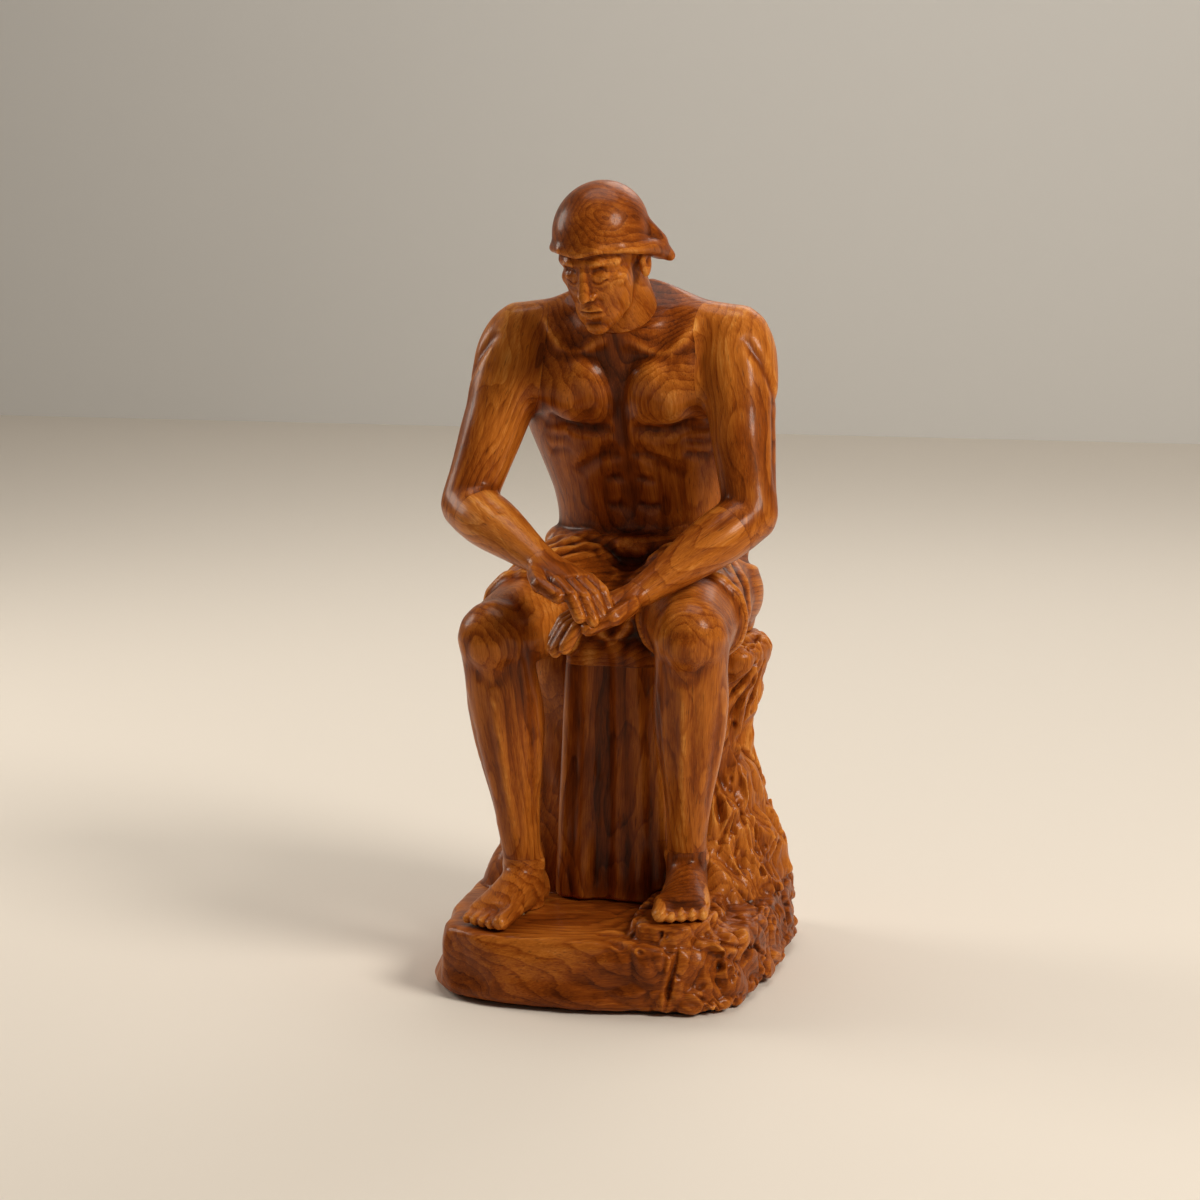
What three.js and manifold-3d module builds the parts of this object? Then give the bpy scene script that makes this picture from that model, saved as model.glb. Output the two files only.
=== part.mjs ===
// A seated figure in contemplation, carved from hardwood blocks that are pegged and glued
// together: a rough rock plinth, a rock seat, a cloth-wrapped lap, a trunk, a bowed head,
// two arms with folded hands, and two bare legs. Millimetres, +Z up. The figure faces -Y,
// so its own right side lies at -X. The origin is on the table, under the carving's middle.

import * as THREE from "three";
import { mergeVertices } from "three/addons/utils/BufferGeometryUtils.js";
import Module from "manifold-3d";

const wasm = await Module();
wasm.setup();

// Fits between the blocks
const glueGap = 0.3; // open line between two blocks
const pegClearance = 0.3; // round a peg in its hole

// Felt and plinth
const feltThickness = 1.2;
const feltInset = 5; // from the plinth's outline to the felt's edge
const plinthWidth = 100;
const plinthDepth = 118;
const plinthTop = 21; // table to the flat that carries the seat and the right foot
const plinthBevel = 1.2; // width of the bevel round its top edge
const plinthTaper = 4.5; // how far its left and right sides lean in towards the top
const ledgeRise = 4; // extra height of the rock under the left foot
const ledgeWidth = 23;
const ledgeLength = 50;

// Rock seat
const seatHeight = 96; // table to the flat that the lap rests on
const seatWidth = 76;
const seatDepth = 54;
const seatFlare = 7; // how much wider the rock spreads at its foot
const seatWaist = 4; // how much it draws in halfway up
const seatDrift = 1; // how far its foot runs out to the figure's left
const hewnDepth = 5; // ridge to hollow of the gouged rock, where it is roughest
const hewnWidth = 18; // ridge to ridge round the rock
const hewnHeight = 21; // and up it
const roughSide = THREE.MathUtils.degToRad(35); // roughest towards the left and the back
const seatSetback = 36; // plinth's back edge to the middle of the seat

// Legs
const hipHalf = 15; // hip joints from the middle
const hipRise = 15; // above the seat
const hipBehindSeat = 8; // behind the middle of the seat
const thighLength = 69;
const shinLength = 71;
const ankleRise = 11.5; // above the sole
const footSpread = 24; // ankles from the middle
const rightFootSetback = 35; // plinth's front edge to the ankle
const leftFootSetback = 40;
const footLength = 43;
const footBreadth = 15.5;
const solePegAhead = 7; // sole pegs in front of the ankles, under the arch
const toeOut = THREE.MathUtils.degToRad(9);

// Trunk and head
const waistRise = 31; // seat to the waist seam
const waistBehindHip = 2;
const lumbarLength = 17;
const ribLength = 31;
const chestLength = 24;
const neckLength = 19;
const lumbarLean = THREE.MathUtils.degToRad(13);
const ribLean = THREE.MathUtils.degToRad(25);
const chestLean = THREE.MathUtils.degToRad(35);
const neckLean = THREE.MathUtils.degToRad(40);
const headBow = THREE.MathUtils.degToRad(29);
const headTurn = THREE.MathUtils.degToRad(-11);
const headHeight = 39; // chin to crown
const headBreadth = 26;
const headDepth = 32;
const headLift = 10; // nape to the middle of the head
const headLead = 4.5; // and how far in front of the nape that lies
const waistPegHalf = 12; // waist pegs from the middle
const loinDrop = 7; // how far below the waist the trunk is shaped before the seam cuts it
const furrowHalf = 5.5; // half width of the furrows down the spine and the breastbone
const breastHalf = 15.5; // breasts from the middle
const breastAhead = 12.5; // in front of the spine
const breastDrop = 2;
const bladeHalf = 16; // shoulder blades from the middle
const bladeBehind = 13.5; // behind the spine

// Arms
const shoulderHalf = 32; // shoulder joints from the middle
const shoulderDrop = 5; // below the collar
const shoulderBehind = 5; // behind the collar
const upperArmLength = 53;
const forearmLength = 43;
const handLength = 31;
const handBreadth = 14.5;
const handsRise = 15; // folded hands above the knees
const handsReach = 8; // and in front of them
const wristSpread = 14; // wrists from the middle
const rightHandLift = 7; // the right hand lies on the left one

// Loose end of the cloth
const fluteCount = 6;
const fluteSpacing = 5;
const fluteRadius = 3.8;
const fallTuck = 4; // from the rock's front back under the lap
const fallTop = 2; // above the knees, inside the lap
const fallEdge = 4; // below the knees, where it leaves the lap
const fallLead = 5; // in front of the rock at the edge of the lap
const fallClose = 4.5; // in front of the rock where the cloth hangs closest
const fallFoot = 6.5; // in front of the rock at its foot
const fallDrop = 36; // knees down to where the cloth hangs closest

// Pegs
const pegSides = 10;
const broadPeg = { radius: 4, length: 26 };
const limbPeg = { radius: 3, length: 22 };
const slimPeg = { radius: 2, length: 14 };
const finePeg = { radius: 1.4, length: 10 };

// Facets
const limbSides = 12;
const limbRings = 8;
const trunkSides = 28;
const trunkRings = 13;
const rockSides = 32;
const hewnSides = 56;
const hewnRings = 11;

const vec = (x, y, z) => new THREE.Vector3(x, y, z);
const mix = (a, b, share) => a.clone().lerp(b, share);
const up = vec(0, 0, 1);
const down = vec(0, 0, -1);
const front = vec(0, -1, 0);

// Solids

function solidOf(geometry) {
  const bare = geometry.clone();
  bare.deleteAttribute("normal");
  bare.deleteAttribute("uv");
  const merged = mergeVertices(bare, 1e-4);
  const vertProperties = merged.attributes.position.array;
  const triVerts = new Uint32Array(merged.index.array);
  return new wasm.Manifold(new wasm.Mesh({ numProp: 3, vertProperties, triVerts }));
}

function geometryOf(solid) {
  const { vertProperties, triVerts } = solid.getMesh();
  const geometry = new THREE.BufferGeometry();
  geometry.setAttribute("position", new THREE.BufferAttribute(vertProperties, 3));
  geometry.setIndex(new THREE.BufferAttribute(triVerts, 1));
  return geometry;
}

const join = (solids) => solids.reduce((whole, piece) => whole.add(piece));
const cut = (solid, blades) => blades.reduce((rest, blade) => rest.subtract(blade), solid);

// A closed skin over rings of points, each counter-clockwise seen from the last ring's end.
function skin(rings) {
  const count = rings[0].length;
  const middles = [rings[0], rings.at(-1)].map((ring) =>
    ring.reduce((sum, p) => sum.add(p), vec(0, 0, 0)).divideScalar(count),
  );
  const points = [...rings.flat(), ...middles];
  const firstMiddle = rings.length * count;
  const lastRing = (rings.length - 1) * count;
  const faces = [];
  for (let j = 0; j < count; j++) {
    const k = (j + 1) % count;
    for (let i = 0; i < lastRing; i += count) {
      faces.push(i + j, i + k, i + count + j, i + k, i + count + k, i + count + j);
    }
    faces.push(firstMiddle, k, j, firstMiddle + 1, lastRing + j, lastRing + k);
  }
  const geometry = new THREE.BufferGeometry().setFromPoints(points);
  geometry.setIndex(faces);
  return solidOf(geometry);
}

// One ring about a point: its half width, its depths to the front and to the back, and how far
// a furrow down the front and one down the back dip in.
function ring(at, axis, ahead, [wide, fore, aft, foreDip = 0, aftDip = 0], grow, sides) {
  const forward = ahead.clone().addScaledVector(axis, -ahead.dot(axis)).normalize();
  const aside = forward.clone().cross(axis);
  return Array.from({ length: sides }, (_, i) => {
    const turn = (2 * Math.PI * i) / sides;
    const across = Math.cos(turn) * (wide + grow);
    const furrow = Math.exp(-((across / furrowHalf) ** 2));
    const depth = Math.sin(turn) > 0 ? fore - foreDip * furrow : aft - aftDip * furrow;
    return at
      .clone()
      .addScaledVector(aside, across)
      .addScaledVector(forward, Math.sin(turn) * (depth + grow));
  });
}

// A profile is a list of [share of the length, half width, front depth, back depth], and for a
// limb with furrows also [front furrow, back furrow].
function profileAt(profile) {
  const shares = profile.map((row) => row[0]);
  const sizes = profile.flatMap((row) => row.slice(1));
  const spline = new THREE.CubicInterpolant(shares, sizes, profile[0].length - 1);
  return (share) => [...spline.evaluate(share)];
}

// A straight limb between two joints.
function limb(from, to, ahead, profile, grow = 0, rings = limbRings, sides = limbSides) {
  const axis = to.clone().sub(from).normalize();
  const sizeAt = profileAt(profile);
  const [first, last] = [profile[0][0], profile.at(-1)[0]];
  const stack = Array.from({ length: rings + 1 }, (_, i) => {
    const share = THREE.MathUtils.lerp(first, last, i / rings);
    return ring(mix(from, to, share), axis, ahead, sizeAt(share), grow, sides);
  });
  return skin(stack);
}

// A limb that follows a curve, and may run straight on before the curve's start.
function bentLimb(curve, ahead, profile, rings, sides, lead = 0) {
  const sizeAt = profileAt(profile);
  const ringAt = (share, before) => {
    const axis = curve.getTangentAt(share);
    const at = curve.getPointAt(share).addScaledVector(axis, -before);
    return ring(at, axis, ahead, sizeAt(share), 0, sides);
  };
  const stack = Array.from({ length: rings + 1 }, (_, i) => ringAt(i / rings, 0));
  return skin(lead ? [ringAt(0, lead), ...stack] : stack);
}

function ball(at, [rx, ry, rz], turn = new THREE.Quaternion(), grow = 0, sides = 12) {
  const geometry = new THREE.SphereGeometry(1, sides, Math.round(sides * 0.7));
  geometry.scale(rx + grow, ry + grow, rz + grow);
  geometry.applyQuaternion(turn);
  geometry.translate(at.x, at.y, at.z);
  return solidOf(geometry);
}

// A round-ended stroke, for fingers and toes.
function stroke(from, to, radius) {
  const span = to.clone().sub(from);
  const geometry = new THREE.CapsuleGeometry(radius, span.length(), 2, 6, 1);
  geometry.applyQuaternion(new THREE.Quaternion().setFromUnitVectors(vec(0, 1, 0), span.normalize()));
  const middle = mix(from, to, 0.5);
  geometry.translate(middle.x, middle.y, middle.z);
  return solidOf(geometry);
}

// All the space beyond a flat.
function beyond(at, normal) {
  const reach = 400;
  const geometry = new THREE.BoxGeometry(reach, reach, reach);
  geometry.translate(0, 0, reach / 2);
  geometry.applyQuaternion(new THREE.Quaternion().setFromUnitVectors(up, normal));
  geometry.translate(at.x, at.y, at.z);
  return solidOf(geometry);
}

function rod(at, axis, radius, length) {
  const geometry = new THREE.CylinderGeometry(radius, radius, length, pegSides);
  geometry.applyQuaternion(new THREE.Quaternion().setFromUnitVectors(vec(0, 1, 0), axis));
  geometry.translate(at.x, at.y, at.z);
  return solidOf(geometry);
}

// Seams: a flat glue face with pegs through it. The axis points to the block that is carried.
function seam(at, axis, peg, pegPlaces = [at]) {
  return { at, axis: axis.clone().normalize(), peg, pegPlaces };
}

function drill(solid, { axis, peg, pegPlaces }) {
  const holes = pegPlaces.map((at) =>
    rod(at, axis, peg.radius + pegClearance, peg.length + 2 * pegClearance),
  );
  return cut(solid, holes);
}

function carrier(solid, joint) {
  const face = joint.at.clone().addScaledVector(joint.axis, -glueGap / 2);
  return drill(solid.subtract(beyond(face, joint.axis)), joint);
}

function carried(solid, joint) {
  const face = joint.at.clone().addScaledVector(joint.axis, glueGap / 2);
  return drill(solid.subtract(beyond(face, joint.axis.clone().negate())), joint);
}

// The middle joint of a limb of two bones that reaches from one point to another.
function bend(from, to, first, second, pole) {
  const span = to.clone().sub(from);
  const reach = span.length();
  span.normalize();
  const along = (first ** 2 - second ** 2 + reach ** 2) / (2 * reach);
  const out = pole.clone().addScaledVector(span, -pole.dot(span)).normalize();
  const rise = Math.sqrt(first ** 2 - along ** 2);
  return from.clone().addScaledVector(span, along).addScaledVector(out, rise);
}

// Where the joints of the body lie. Each side is -1 for the right and 1 for the left.

const plinthFront = -plinthDepth / 2;
const seatMiddle = vec(0, plinthDepth / 2 - seatSetback, seatHeight);
const hipY = seatMiddle.y + hipBehindSeat;

function legJoints(side) {
  const setback = side < 0 ? rightFootSetback : leftFootSetback;
  const sole = plinthTop + (side < 0 ? 0 : ledgeRise) + glueGap / 2;
  const hip = vec(side * hipHalf, hipY, seatHeight + hipRise);
  const ankle = vec(side * footSpread, plinthFront + setback, sole + ankleRise);
  const knee = bend(hip, ankle, thighLength, shinLength, vec(side * 0.22, -1, 0.5));
  return { side, sole, hip, knee, ankle };
}

const rightLeg = legJoints(-1);
const leftLeg = legJoints(1);
const bothLegs = [rightLeg, leftLeg];

const leaning = (from, length, lean) =>
  from.clone().add(vec(0, -Math.sin(lean) * length, Math.cos(lean) * length));
const waist = vec(0, hipY + waistBehindHip, seatHeight + waistRise);
const lumbar = leaning(waist, lumbarLength, lumbarLean);
const ribs = leaning(lumbar, ribLength, ribLean);
const collar = leaning(ribs, chestLength, chestLean);
const nape = leaning(collar, neckLength, neckLean);
const spine = new THREE.CatmullRomCurve3([waist, lumbar, ribs, collar, nape]);

const lapMiddle = mix(rightLeg.knee, leftLeg.knee, 0.5);
const handsMiddle = lapMiddle.clone().add(vec(0, -handsReach, handsRise));

function armJoints(side, wristLift) {
  const shoulder = collar.clone().add(vec(side * shoulderHalf, shoulderBehind, -shoulderDrop));
  const wrist = handsMiddle.clone().add(vec(side * wristSpread, 5, wristLift));
  const elbow = bend(shoulder, wrist, upperArmLength, forearmLength, vec(side * 0.8, 0.25, -0.5));
  return { side, shoulder, elbow, wrist };
}

const rightArm = armJoints(-1, rightHandLift);
const leftArm = armJoints(1, -1);
const bothArms = [rightArm, leftArm];

// Seams

const plinthSeam = seam(
  vec(0, seatMiddle.y, plinthTop), up, broadPeg,
  [-1, 1].map((side) => vec(side * seatWidth * 0.28, seatMiddle.y, plinthTop)),
);
const seatSeam = seam(
  seatMiddle, up, broadPeg,
  [-1, 1].map((side) => vec(side * hipHalf, hipY, seatHeight)),
);
const waistSeam = seam(
  waist, up, broadPeg,
  [-1, 1].map((side) => waist.clone().add(vec(side * waistPegHalf, 0, 0))),
);
const neckSeam = seam(spine.getPointAt(0.86), spine.getTangentAt(0.86), limbPeg);

function shoulderSeam({ side, shoulder }) {
  const at = shoulder.clone().add(vec(-side * 5, 1, 2));
  return seam(at, vec(side, -0.4, 0.15), limbPeg);
}

function elbowSeam({ elbow, wrist }) {
  const axis = wrist.clone().sub(elbow).normalize();
  return seam(elbow.clone().addScaledVector(axis, 8), axis, slimPeg);
}

const wristSeam = ({ elbow, wrist }) => seam(wrist, wrist.clone().sub(elbow), finePeg);
const thighSeam = ({ hip, knee }) => seam(mix(hip, knee, 0.7), knee.clone().sub(hip), limbPeg);
const ankleSeam = ({ ankle }) => seam(ankle.clone().add(vec(0, 0, 3.5)), down, slimPeg);
const soleSeam = ({ ankle, sole }) =>
  seam(vec(ankle.x, ankle.y - solePegAhead, sole - glueGap / 2), up, slimPeg);

// The gouged face of the rock, from -1 in a hollow to 1 on a ridge. The hollows stand in rows that
// wander round the rock, and are deepest on its rough side.
function hewn(turn, z) {
  const around = Math.round((2 * (seatWidth + seatDepth)) / hewnWidth);
  const row = z / hewnHeight + 0.35 * Math.sin(3 * turn + 1);
  const band = Math.floor(row);
  const place = (turn / (2 * Math.PI)) * around + 0.5 * band + 0.25 * Math.sin(2 * turn + z / 9);
  const cell = THREE.MathUtils.euclideanModulo(Math.floor(place), around);
  const scoop = Math.sin(Math.PI * (place - Math.floor(place))) * Math.sin(Math.PI * (row - band));
  const deep = 0.6 + 0.4 * Math.sin(5 * cell + 3 * band);
  const rough = 0.65 + 0.35 * Math.cos(turn - roughSide);
  return rough * (1 - 2 * deep * scoop);
}

// Rock: outlines stacked from the foot up, [height, half width, half depth, drift to the left],
// with shallow dents, and with the gouge's hollows where a depth is given for them.
function rock(levels, middle, squareness, dent, hewing = 0, sides = rockSides) {
  const power = 2 / squareness;
  const spread = (value) => Math.sign(value) * Math.abs(value) ** power;
  const stack = levels.map(([z, wide, deep, drift = 0]) =>
    Array.from({ length: sides }, (_, i) => {
      const turn = (2 * Math.PI * i) / sides;
      const waves = [
        Math.sin(3 * turn + z / 17),
        Math.sin(7 * turn - z / 9 + 1),
        Math.sin(11 * turn + z / 5),
      ];
      const swell = (dent * (waves[0] + waves[1] + waves[2])) / 3 + (hewing / 2) * hewn(turn, z);
      const x = middle.x + drift + spread(Math.cos(turn)) * (wide + swell);
      const y = middle.y + spread(Math.sin(turn)) * (deep + swell);
      return vec(x, y, z);
    }),
  );
  return skin(stack);
}

const plinthSquareness = 4.4;

// The raised rock under the left foot.
function ledge(grow = 0) {
  const [wide, deep] = [ledgeWidth / 2 + grow, ledgeLength / 2 + grow];
  const levels = [
    [plinthTop - 3, wide + 2, deep + 2],
    [plinthTop + ledgeRise + grow, wide, deep],
  ];
  const middle = vec(leftLeg.ankle.x, leftLeg.ankle.y - footLength * 0.2, 0);
  return rock(levels, middle, 3, 0.8);
}

function plinth() {
  const [wide, deep] = [plinthWidth / 2, plinthDepth / 2];
  const rise = plinthTop - feltThickness;
  const level = (share, inset) => [
    feltThickness + rise * share,
    wide - plinthTaper * share - inset,
    deep - plinthTaper * 0.35 * share - inset,
  ];
  const mound = rock(
    [level(0, 1.6), level(0.1, 0.2), level(0.4, 0.8), level(0.7, 0), level(0.93, 0), level(1, plinthBevel)],
    vec(0, 0, 0), plinthSquareness, 1.8,
  );
  const step = ledge().subtract(seatRock(glueGap));
  return bothLegs.reduce(
    (rest, joints) => drill(rest, soleSeam(joints)),
    carrier(mound, plinthSeam).add(step),
  );
}

function felt() {
  const half = [plinthWidth / 2 - feltInset, plinthDepth / 2 - feltInset];
  return rock([[0, ...half], [feltThickness, ...half]], vec(0, 0, 0), plinthSquareness, 1);
}

function seatRock(grow = 0) {
  const swells = profileAt([
    [0, seatFlare, seatDrift], [0.18, seatFlare * 0.55, seatDrift * 0.8], [0.46, -seatWaist, 0],
    [0.7, -seatWaist, 0], [0.9, 1, 0], [0.96, 1, 0], [1, -1.5, 0],
  ]);
  const shares = Array.from({ length: hewnRings + 1 }, (_, i) => (0.91 * i) / hewnRings);
  const levels = [...shares, 0.96, 1].map((share) => {
    const [swell, drift] = swells(share);
    return [
      THREE.MathUtils.lerp(plinthTop + glueGap / 2, seatHeight - glueGap / 2, share),
      seatWidth / 2 + swell + grow,
      seatDepth / 2 + swell * 0.6 + grow,
      drift,
    ];
  });
  return rock(levels, seatMiddle, 2.7, 1.2, hewnDepth, hewnSides);
}

// Lap: hips and thighs wrapped in cloth with a rolled waistband, sagging between the thighs.
const hipProfile = [
  [0, 32, 20, 18, 0, 2], [0.25, 34, 20, 21, 0, 3.4], [0.45, 34, 20, 22, 0, 3], [0.7, 31.5, 19, 20, 0, 1],
  [0.86, 31, 20.5, 19.5, 0, 0], [1, 29, 18.5, 17.5, 0, 0],
];
const clothThighProfile = [
  [-0.12, 10, 9, 10], [0, 16.5, 14.5, 15], [0.3, 18, 16.4, 15.5], [0.55, 16.8, 15.8, 14.4],
  [0.74, 15.6, 15.2, 13.6],
];
const sagProfile = [[0, 17, 12, 12], [0.6, 16, 9, 12], [1, 15, 7, 11]];

function lapCloth(grow = 0) {
  const hipFoot = vec(0, hipY + 3, seatHeight - 4);
  const hips = limb(hipFoot, waist.clone().add(vec(0, 0, 3)), front, hipProfile, grow, 9, 20);
  const thighs = bothLegs.map(({ hip, knee }) => limb(hip, knee, up, clothThighProfile, grow));
  const sagFront = mix(lapMiddle, vec(0, hipY, lapMiddle.z), 0.36);
  const sag = limb(vec(0, hipY, seatHeight + hipRise), sagFront, up, sagProfile, grow);
  return join([hips, ...thighs, sag]);
}

function lap() {
  const solid = carrier(carried(lapCloth(), seatSeam), waistSeam);
  return bothLegs.reduce((rest, joints) => carrier(rest, thighSeam(joints)), solid);
}

// The loose end of the cloth, hanging in soft flutes over the front of the rock seat.
function clothFall() {
  const foot = plinthTop + glueGap;
  const flutes = Array.from({ length: fluteCount }, (_, i) => {
    const place = i - (fluteCount - 1) / 2;
    const drift = 1.2 * Math.cos(2.3 * place + 0.6);
    const at = (spread, y, z) =>
      vec(place * fluteSpacing * spread, seatMiddle.y - seatDepth / 2 + y + drift, z);
    const drape = new THREE.CatmullRomCurve3([
      at(0.8, fallTuck, lapMiddle.z + fallTop), at(0.84, -fallLead, lapMiddle.z - fallEdge),
      at(1, -fallClose, lapMiddle.z - fallDrop), at(1.15, -fallFoot, foot - 2),
    ]);
    const size = [fluteRadius, fluteRadius + 1, fluteRadius + 4];
    return bentLimb(drape, front, [[0, ...size], [1, ...size]], 6, 8);
  });
  return cut(join(flutes), [
    beyond(vec(0, 0, foot), down),
    seatRock(glueGap),
    ledge(glueGap),
    lapClearance,
    ...legClearances,
  ]);
}

// Trunk, from the waist to the nape
const trunkProfile = [
  [0, 27.5, 17, 16, 0.8, 1.6], [0.1, 27.5, 17.5, 16, 1, 2.6], [0.26, 31, 18.5, 18, 1.2, 3],
  [0.43, 35, 20, 21, 1.4, 3], [0.56, 36.5, 19.5, 22.5, 1.2, 2.8], [0.67, 34, 17, 20.5, 0.6, 2.4],
  [0.76, 25, 13, 16.5, 0, 1.2], [0.84, 15, 11.2, 13, 0, 0], [0.92, 11.4, 10.6, 11.6, 0, 0],
  [1, 11, 10.4, 11.2, 0, 0],
];

const trunk = () => bentLimb(spine, front, trunkProfile, trunkRings, trunkSides, loinDrop);

// The shoulder girdle: a bar from shoulder to shoulder, and a slope from each side of the neck.
const yokeProfile = [
  [0, 11, 10, 11], [0.25, 13, 10.5, 14], [0.5, 14, 9, 15], [0.75, 13, 10.5, 14], [1, 11, 10, 11],
];
const slopeProfile = [[0, 8, 6, 8], [0.5, 9.5, 6, 8], [1, 10, 6.5, 8]];

function yoke() {
  const bar = limb(rightArm.shoulder, leftArm.shoulder, up, yokeProfile);
  const slopes = bothArms.map(({ side, shoulder }) => {
    const neckSide = collar.clone().add(vec(side * 4, 3, 9));
    const tip = shoulder.clone().add(vec(-side * 3, 2, 3));
    return limb(neckSide, tip, up, slopeProfile, 0, 5, 10);
  });
  return join([bar, ...slopes]);
}

function torso() {
  const chest = spine.getPointAt(0.58);
  const lean = new THREE.Quaternion().setFromAxisAngle(vec(1, 0, 0), ribLean);
  const pads = [-1, 1].flatMap((side) => [
    ball(chest.clone().add(vec(side * breastHalf, -breastAhead, -breastDrop)), [17.5, 7.5, 12], lean),
    ball(chest.clone().add(vec(side * bladeHalf, bladeBehind, 0)), [12, 9, 17], lean, 0, 10),
  ]);
  const solid = carrier(carried(join([trunk(), yoke(), ...pads]), waistSeam), neckSeam);
  return bothArms.reduce((rest, joints) => carrier(rest, shoulderSeam(joints)), solid);
}

// Head: shapes in the head's own frame, with its face to -Y and its middle at the origin.
const headPose = new THREE.Quaternion().setFromEuler(new THREE.Euler(headBow, 0, headTurn, "ZXY"));
const headMiddle = nape.clone().add(vec(0, -headLead, headLift).applyQuaternion(headPose));

function head() {
  const [wide, deep, tall] = [headBreadth / 2, headDepth / 2, headHeight / 2];
  const inHead = (x, y, z) => vec(x * wide, y * deep, z * tall).applyQuaternion(headPose).add(headMiddle);
  const lump = (x, y, z, sizes, sides) =>
    ball(inHead(x, y, z), [sizes[0] * wide, sizes[1] * deep, sizes[2] * tall], headPose, 0, sides);
  const skull = lump(0, 0.16, 0.28, [1, 0.98, 0.72], 14);
  const face = lump(0, -0.26, -0.28, [0.78, 0.62, 0.68], 12);
  const jaw = lump(0, -0.5, -0.72, [0.5, 0.32, 0.27], 10);
  const brow = lump(0, -0.66, 0.16, [0.56, 0.17, 0.14], 10);
  const nose = stroke(inHead(0, -0.82, 0.05), inHead(0, -0.98, -0.26), wide * 0.15);
  const ears = [-1, 1].map((side) => lump(side * 0.98, 0.1, -0.06, [0.14, 0.24, 0.3], 8));
  const hairline = vec(0, -1, -0.55).normalize().applyQuaternion(headPose);
  const hair = lump(0, 0.24, 0.33, [1.06, 1, 0.74], 14).subtract(beyond(inHead(0, -0.5, 0.3), hairline));
  return carried(join([trunk(), skull, hair, face, jaw, brow, nose, ...ears]), neckSeam);
}

// Arms
const upperArmProfile = [
  [-0.08, 9, 10, 10], [0.08, 11.6, 12.4, 12.4], [0.26, 11.8, 12.6, 12], [0.45, 9.8, 11.2, 10.4],
  [0.62, 9.2, 10.8, 9.6], [0.82, 8.2, 8.8, 8.6], [1, 8, 7.8, 8],
];
const forearmProfile = [
  [0, 8, 7.6, 7.6], [0.2, 9.2, 8, 8], [0.4, 8.8, 7.4, 7.4], [0.7, 6.8, 5.6, 5.6],
  [0.95, 5.4, 4.2, 4.2], [1.1, 5.4, 4, 4],
];

function arm({ shoulder, elbow, wrist }) {
  return join([
    ball(shoulder, [11, 11.5, 11.5], undefined, 0, 10),
    limb(shoulder, elbow, front, upperArmProfile),
    ball(elbow, [8, 8, 8], undefined, 0, 10),
    limb(elbow, wrist, up, forearmProfile),
  ]);
}

const upperArm = (joints) => carrier(carried(arm(joints), shoulderSeam(joints)), elbowSeam(joints));
const forearm = (joints) =>
  cut(
    carrier(carried(arm(joints), elbowSeam(joints)), wristSeam(joints)),
    [lapClearance, ...legClearances],
  );

// Hands: a palm, four fingers and a thumb. The back of the hand faces up.
const fingerShares = [0.86, 1, 0.95, 0.78];

function handShape({ side, wrist }, ahead, grow = 0) {
  const forward = ahead.clone().normalize();
  const aside = forward.clone().cross(up).normalize().multiplyScalar(-side);
  const back = up.clone().addScaledVector(forward, -up.dot(forward)).normalize();
  const at = (along, across, lift) =>
    wrist
      .clone()
      .addScaledVector(forward, along)
      .addScaledVector(aside, across)
      .addScaledVector(back, lift);
  const palmLength = handLength * 0.52;
  const palmProfile = [
    [-0.1, 5.2, 3.6, 3.6], [0.4, handBreadth * 0.46, 3.4, 3.4], [1, handBreadth / 2, 2.8, 2.8],
  ];
  const palm = limb(wrist, at(palmLength, 0, -0.5), back, palmProfile, grow, 5, 10);
  const fingers = fingerShares.flatMap((share, i) => {
    const across = handBreadth * (0.36 - 0.24 * i);
    const reach = handLength * 0.48 * share;
    const radius = handBreadth * 0.145 + grow;
    const knuckle = at(palmLength - 1, across, 0);
    const middle = at(palmLength + reach * 0.5, across * 1.05, -reach * 0.12);
    const tip = at(palmLength + reach * 0.86, across, -reach * 0.46);
    return [stroke(knuckle, middle, radius), stroke(middle, tip, radius * 0.9)];
  });
  const thumbRoot = at(palmLength * 0.3, handBreadth * 0.42, -0.5);
  const thumbBend = at(palmLength * 0.8, handBreadth * 0.66, -1.2);
  const thumbTip = at(palmLength * 1.25, handBreadth * 0.58, -2);
  const thumb = [
    stroke(thumbRoot, thumbBend, handBreadth * 0.18 + grow),
    stroke(thumbBend, thumbTip, handBreadth * 0.155 + grow),
  ];
  return join([palm, ...fingers, ...thumb]);
}

const rightHandAhead = vec(0.74, -0.62, -0.22);
const leftHandAhead = vec(-0.76, -0.58, -0.26);
const rightHand = () =>
  cut(
    carried(handShape(rightArm, rightHandAhead), wristSeam(rightArm)),
    [lapClearance, ...legClearances],
  );
const leftHand = () =>
  cut(
    carried(handShape(leftArm, leftHandAhead), wristSeam(leftArm)),
    [handShape(rightArm, rightHandAhead, glueGap), lapClearance, ...legClearances],
  );

// Legs: the knee and shin, bare below the hem of the cloth
const thighEndProfile = [[0.66, 13.8, 13.4, 12], [0.85, 12.6, 12.2, 10.6], [1, 11.2, 10.8, 8.6]];
const shinProfile = [
  [0, 10.8, 9.8, 9.8], [0.12, 10.4, 9.4, 11], [0.3, 11, 8.4, 13.2], [0.5, 9.6, 7.2, 11],
  [0.7, 7.2, 6.2, 8], [0.88, 5.8, 5.6, 6.4], [1.1, 6, 5.8, 7],
];

function legShape({ hip, knee, ankle }, grow = 0) {
  return join([
    limb(hip, knee, up, thighEndProfile, grow, 6),
    ball(knee.clone().add(vec(0, -1.5, 1)), [10.8, 11, 11], undefined, grow),
    limb(knee, ankle, front, shinProfile, grow),
  ]);
}

const leg = (joints) => carrier(carried(legShape(joints), thighSeam(joints)), ankleSeam(joints));

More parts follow.
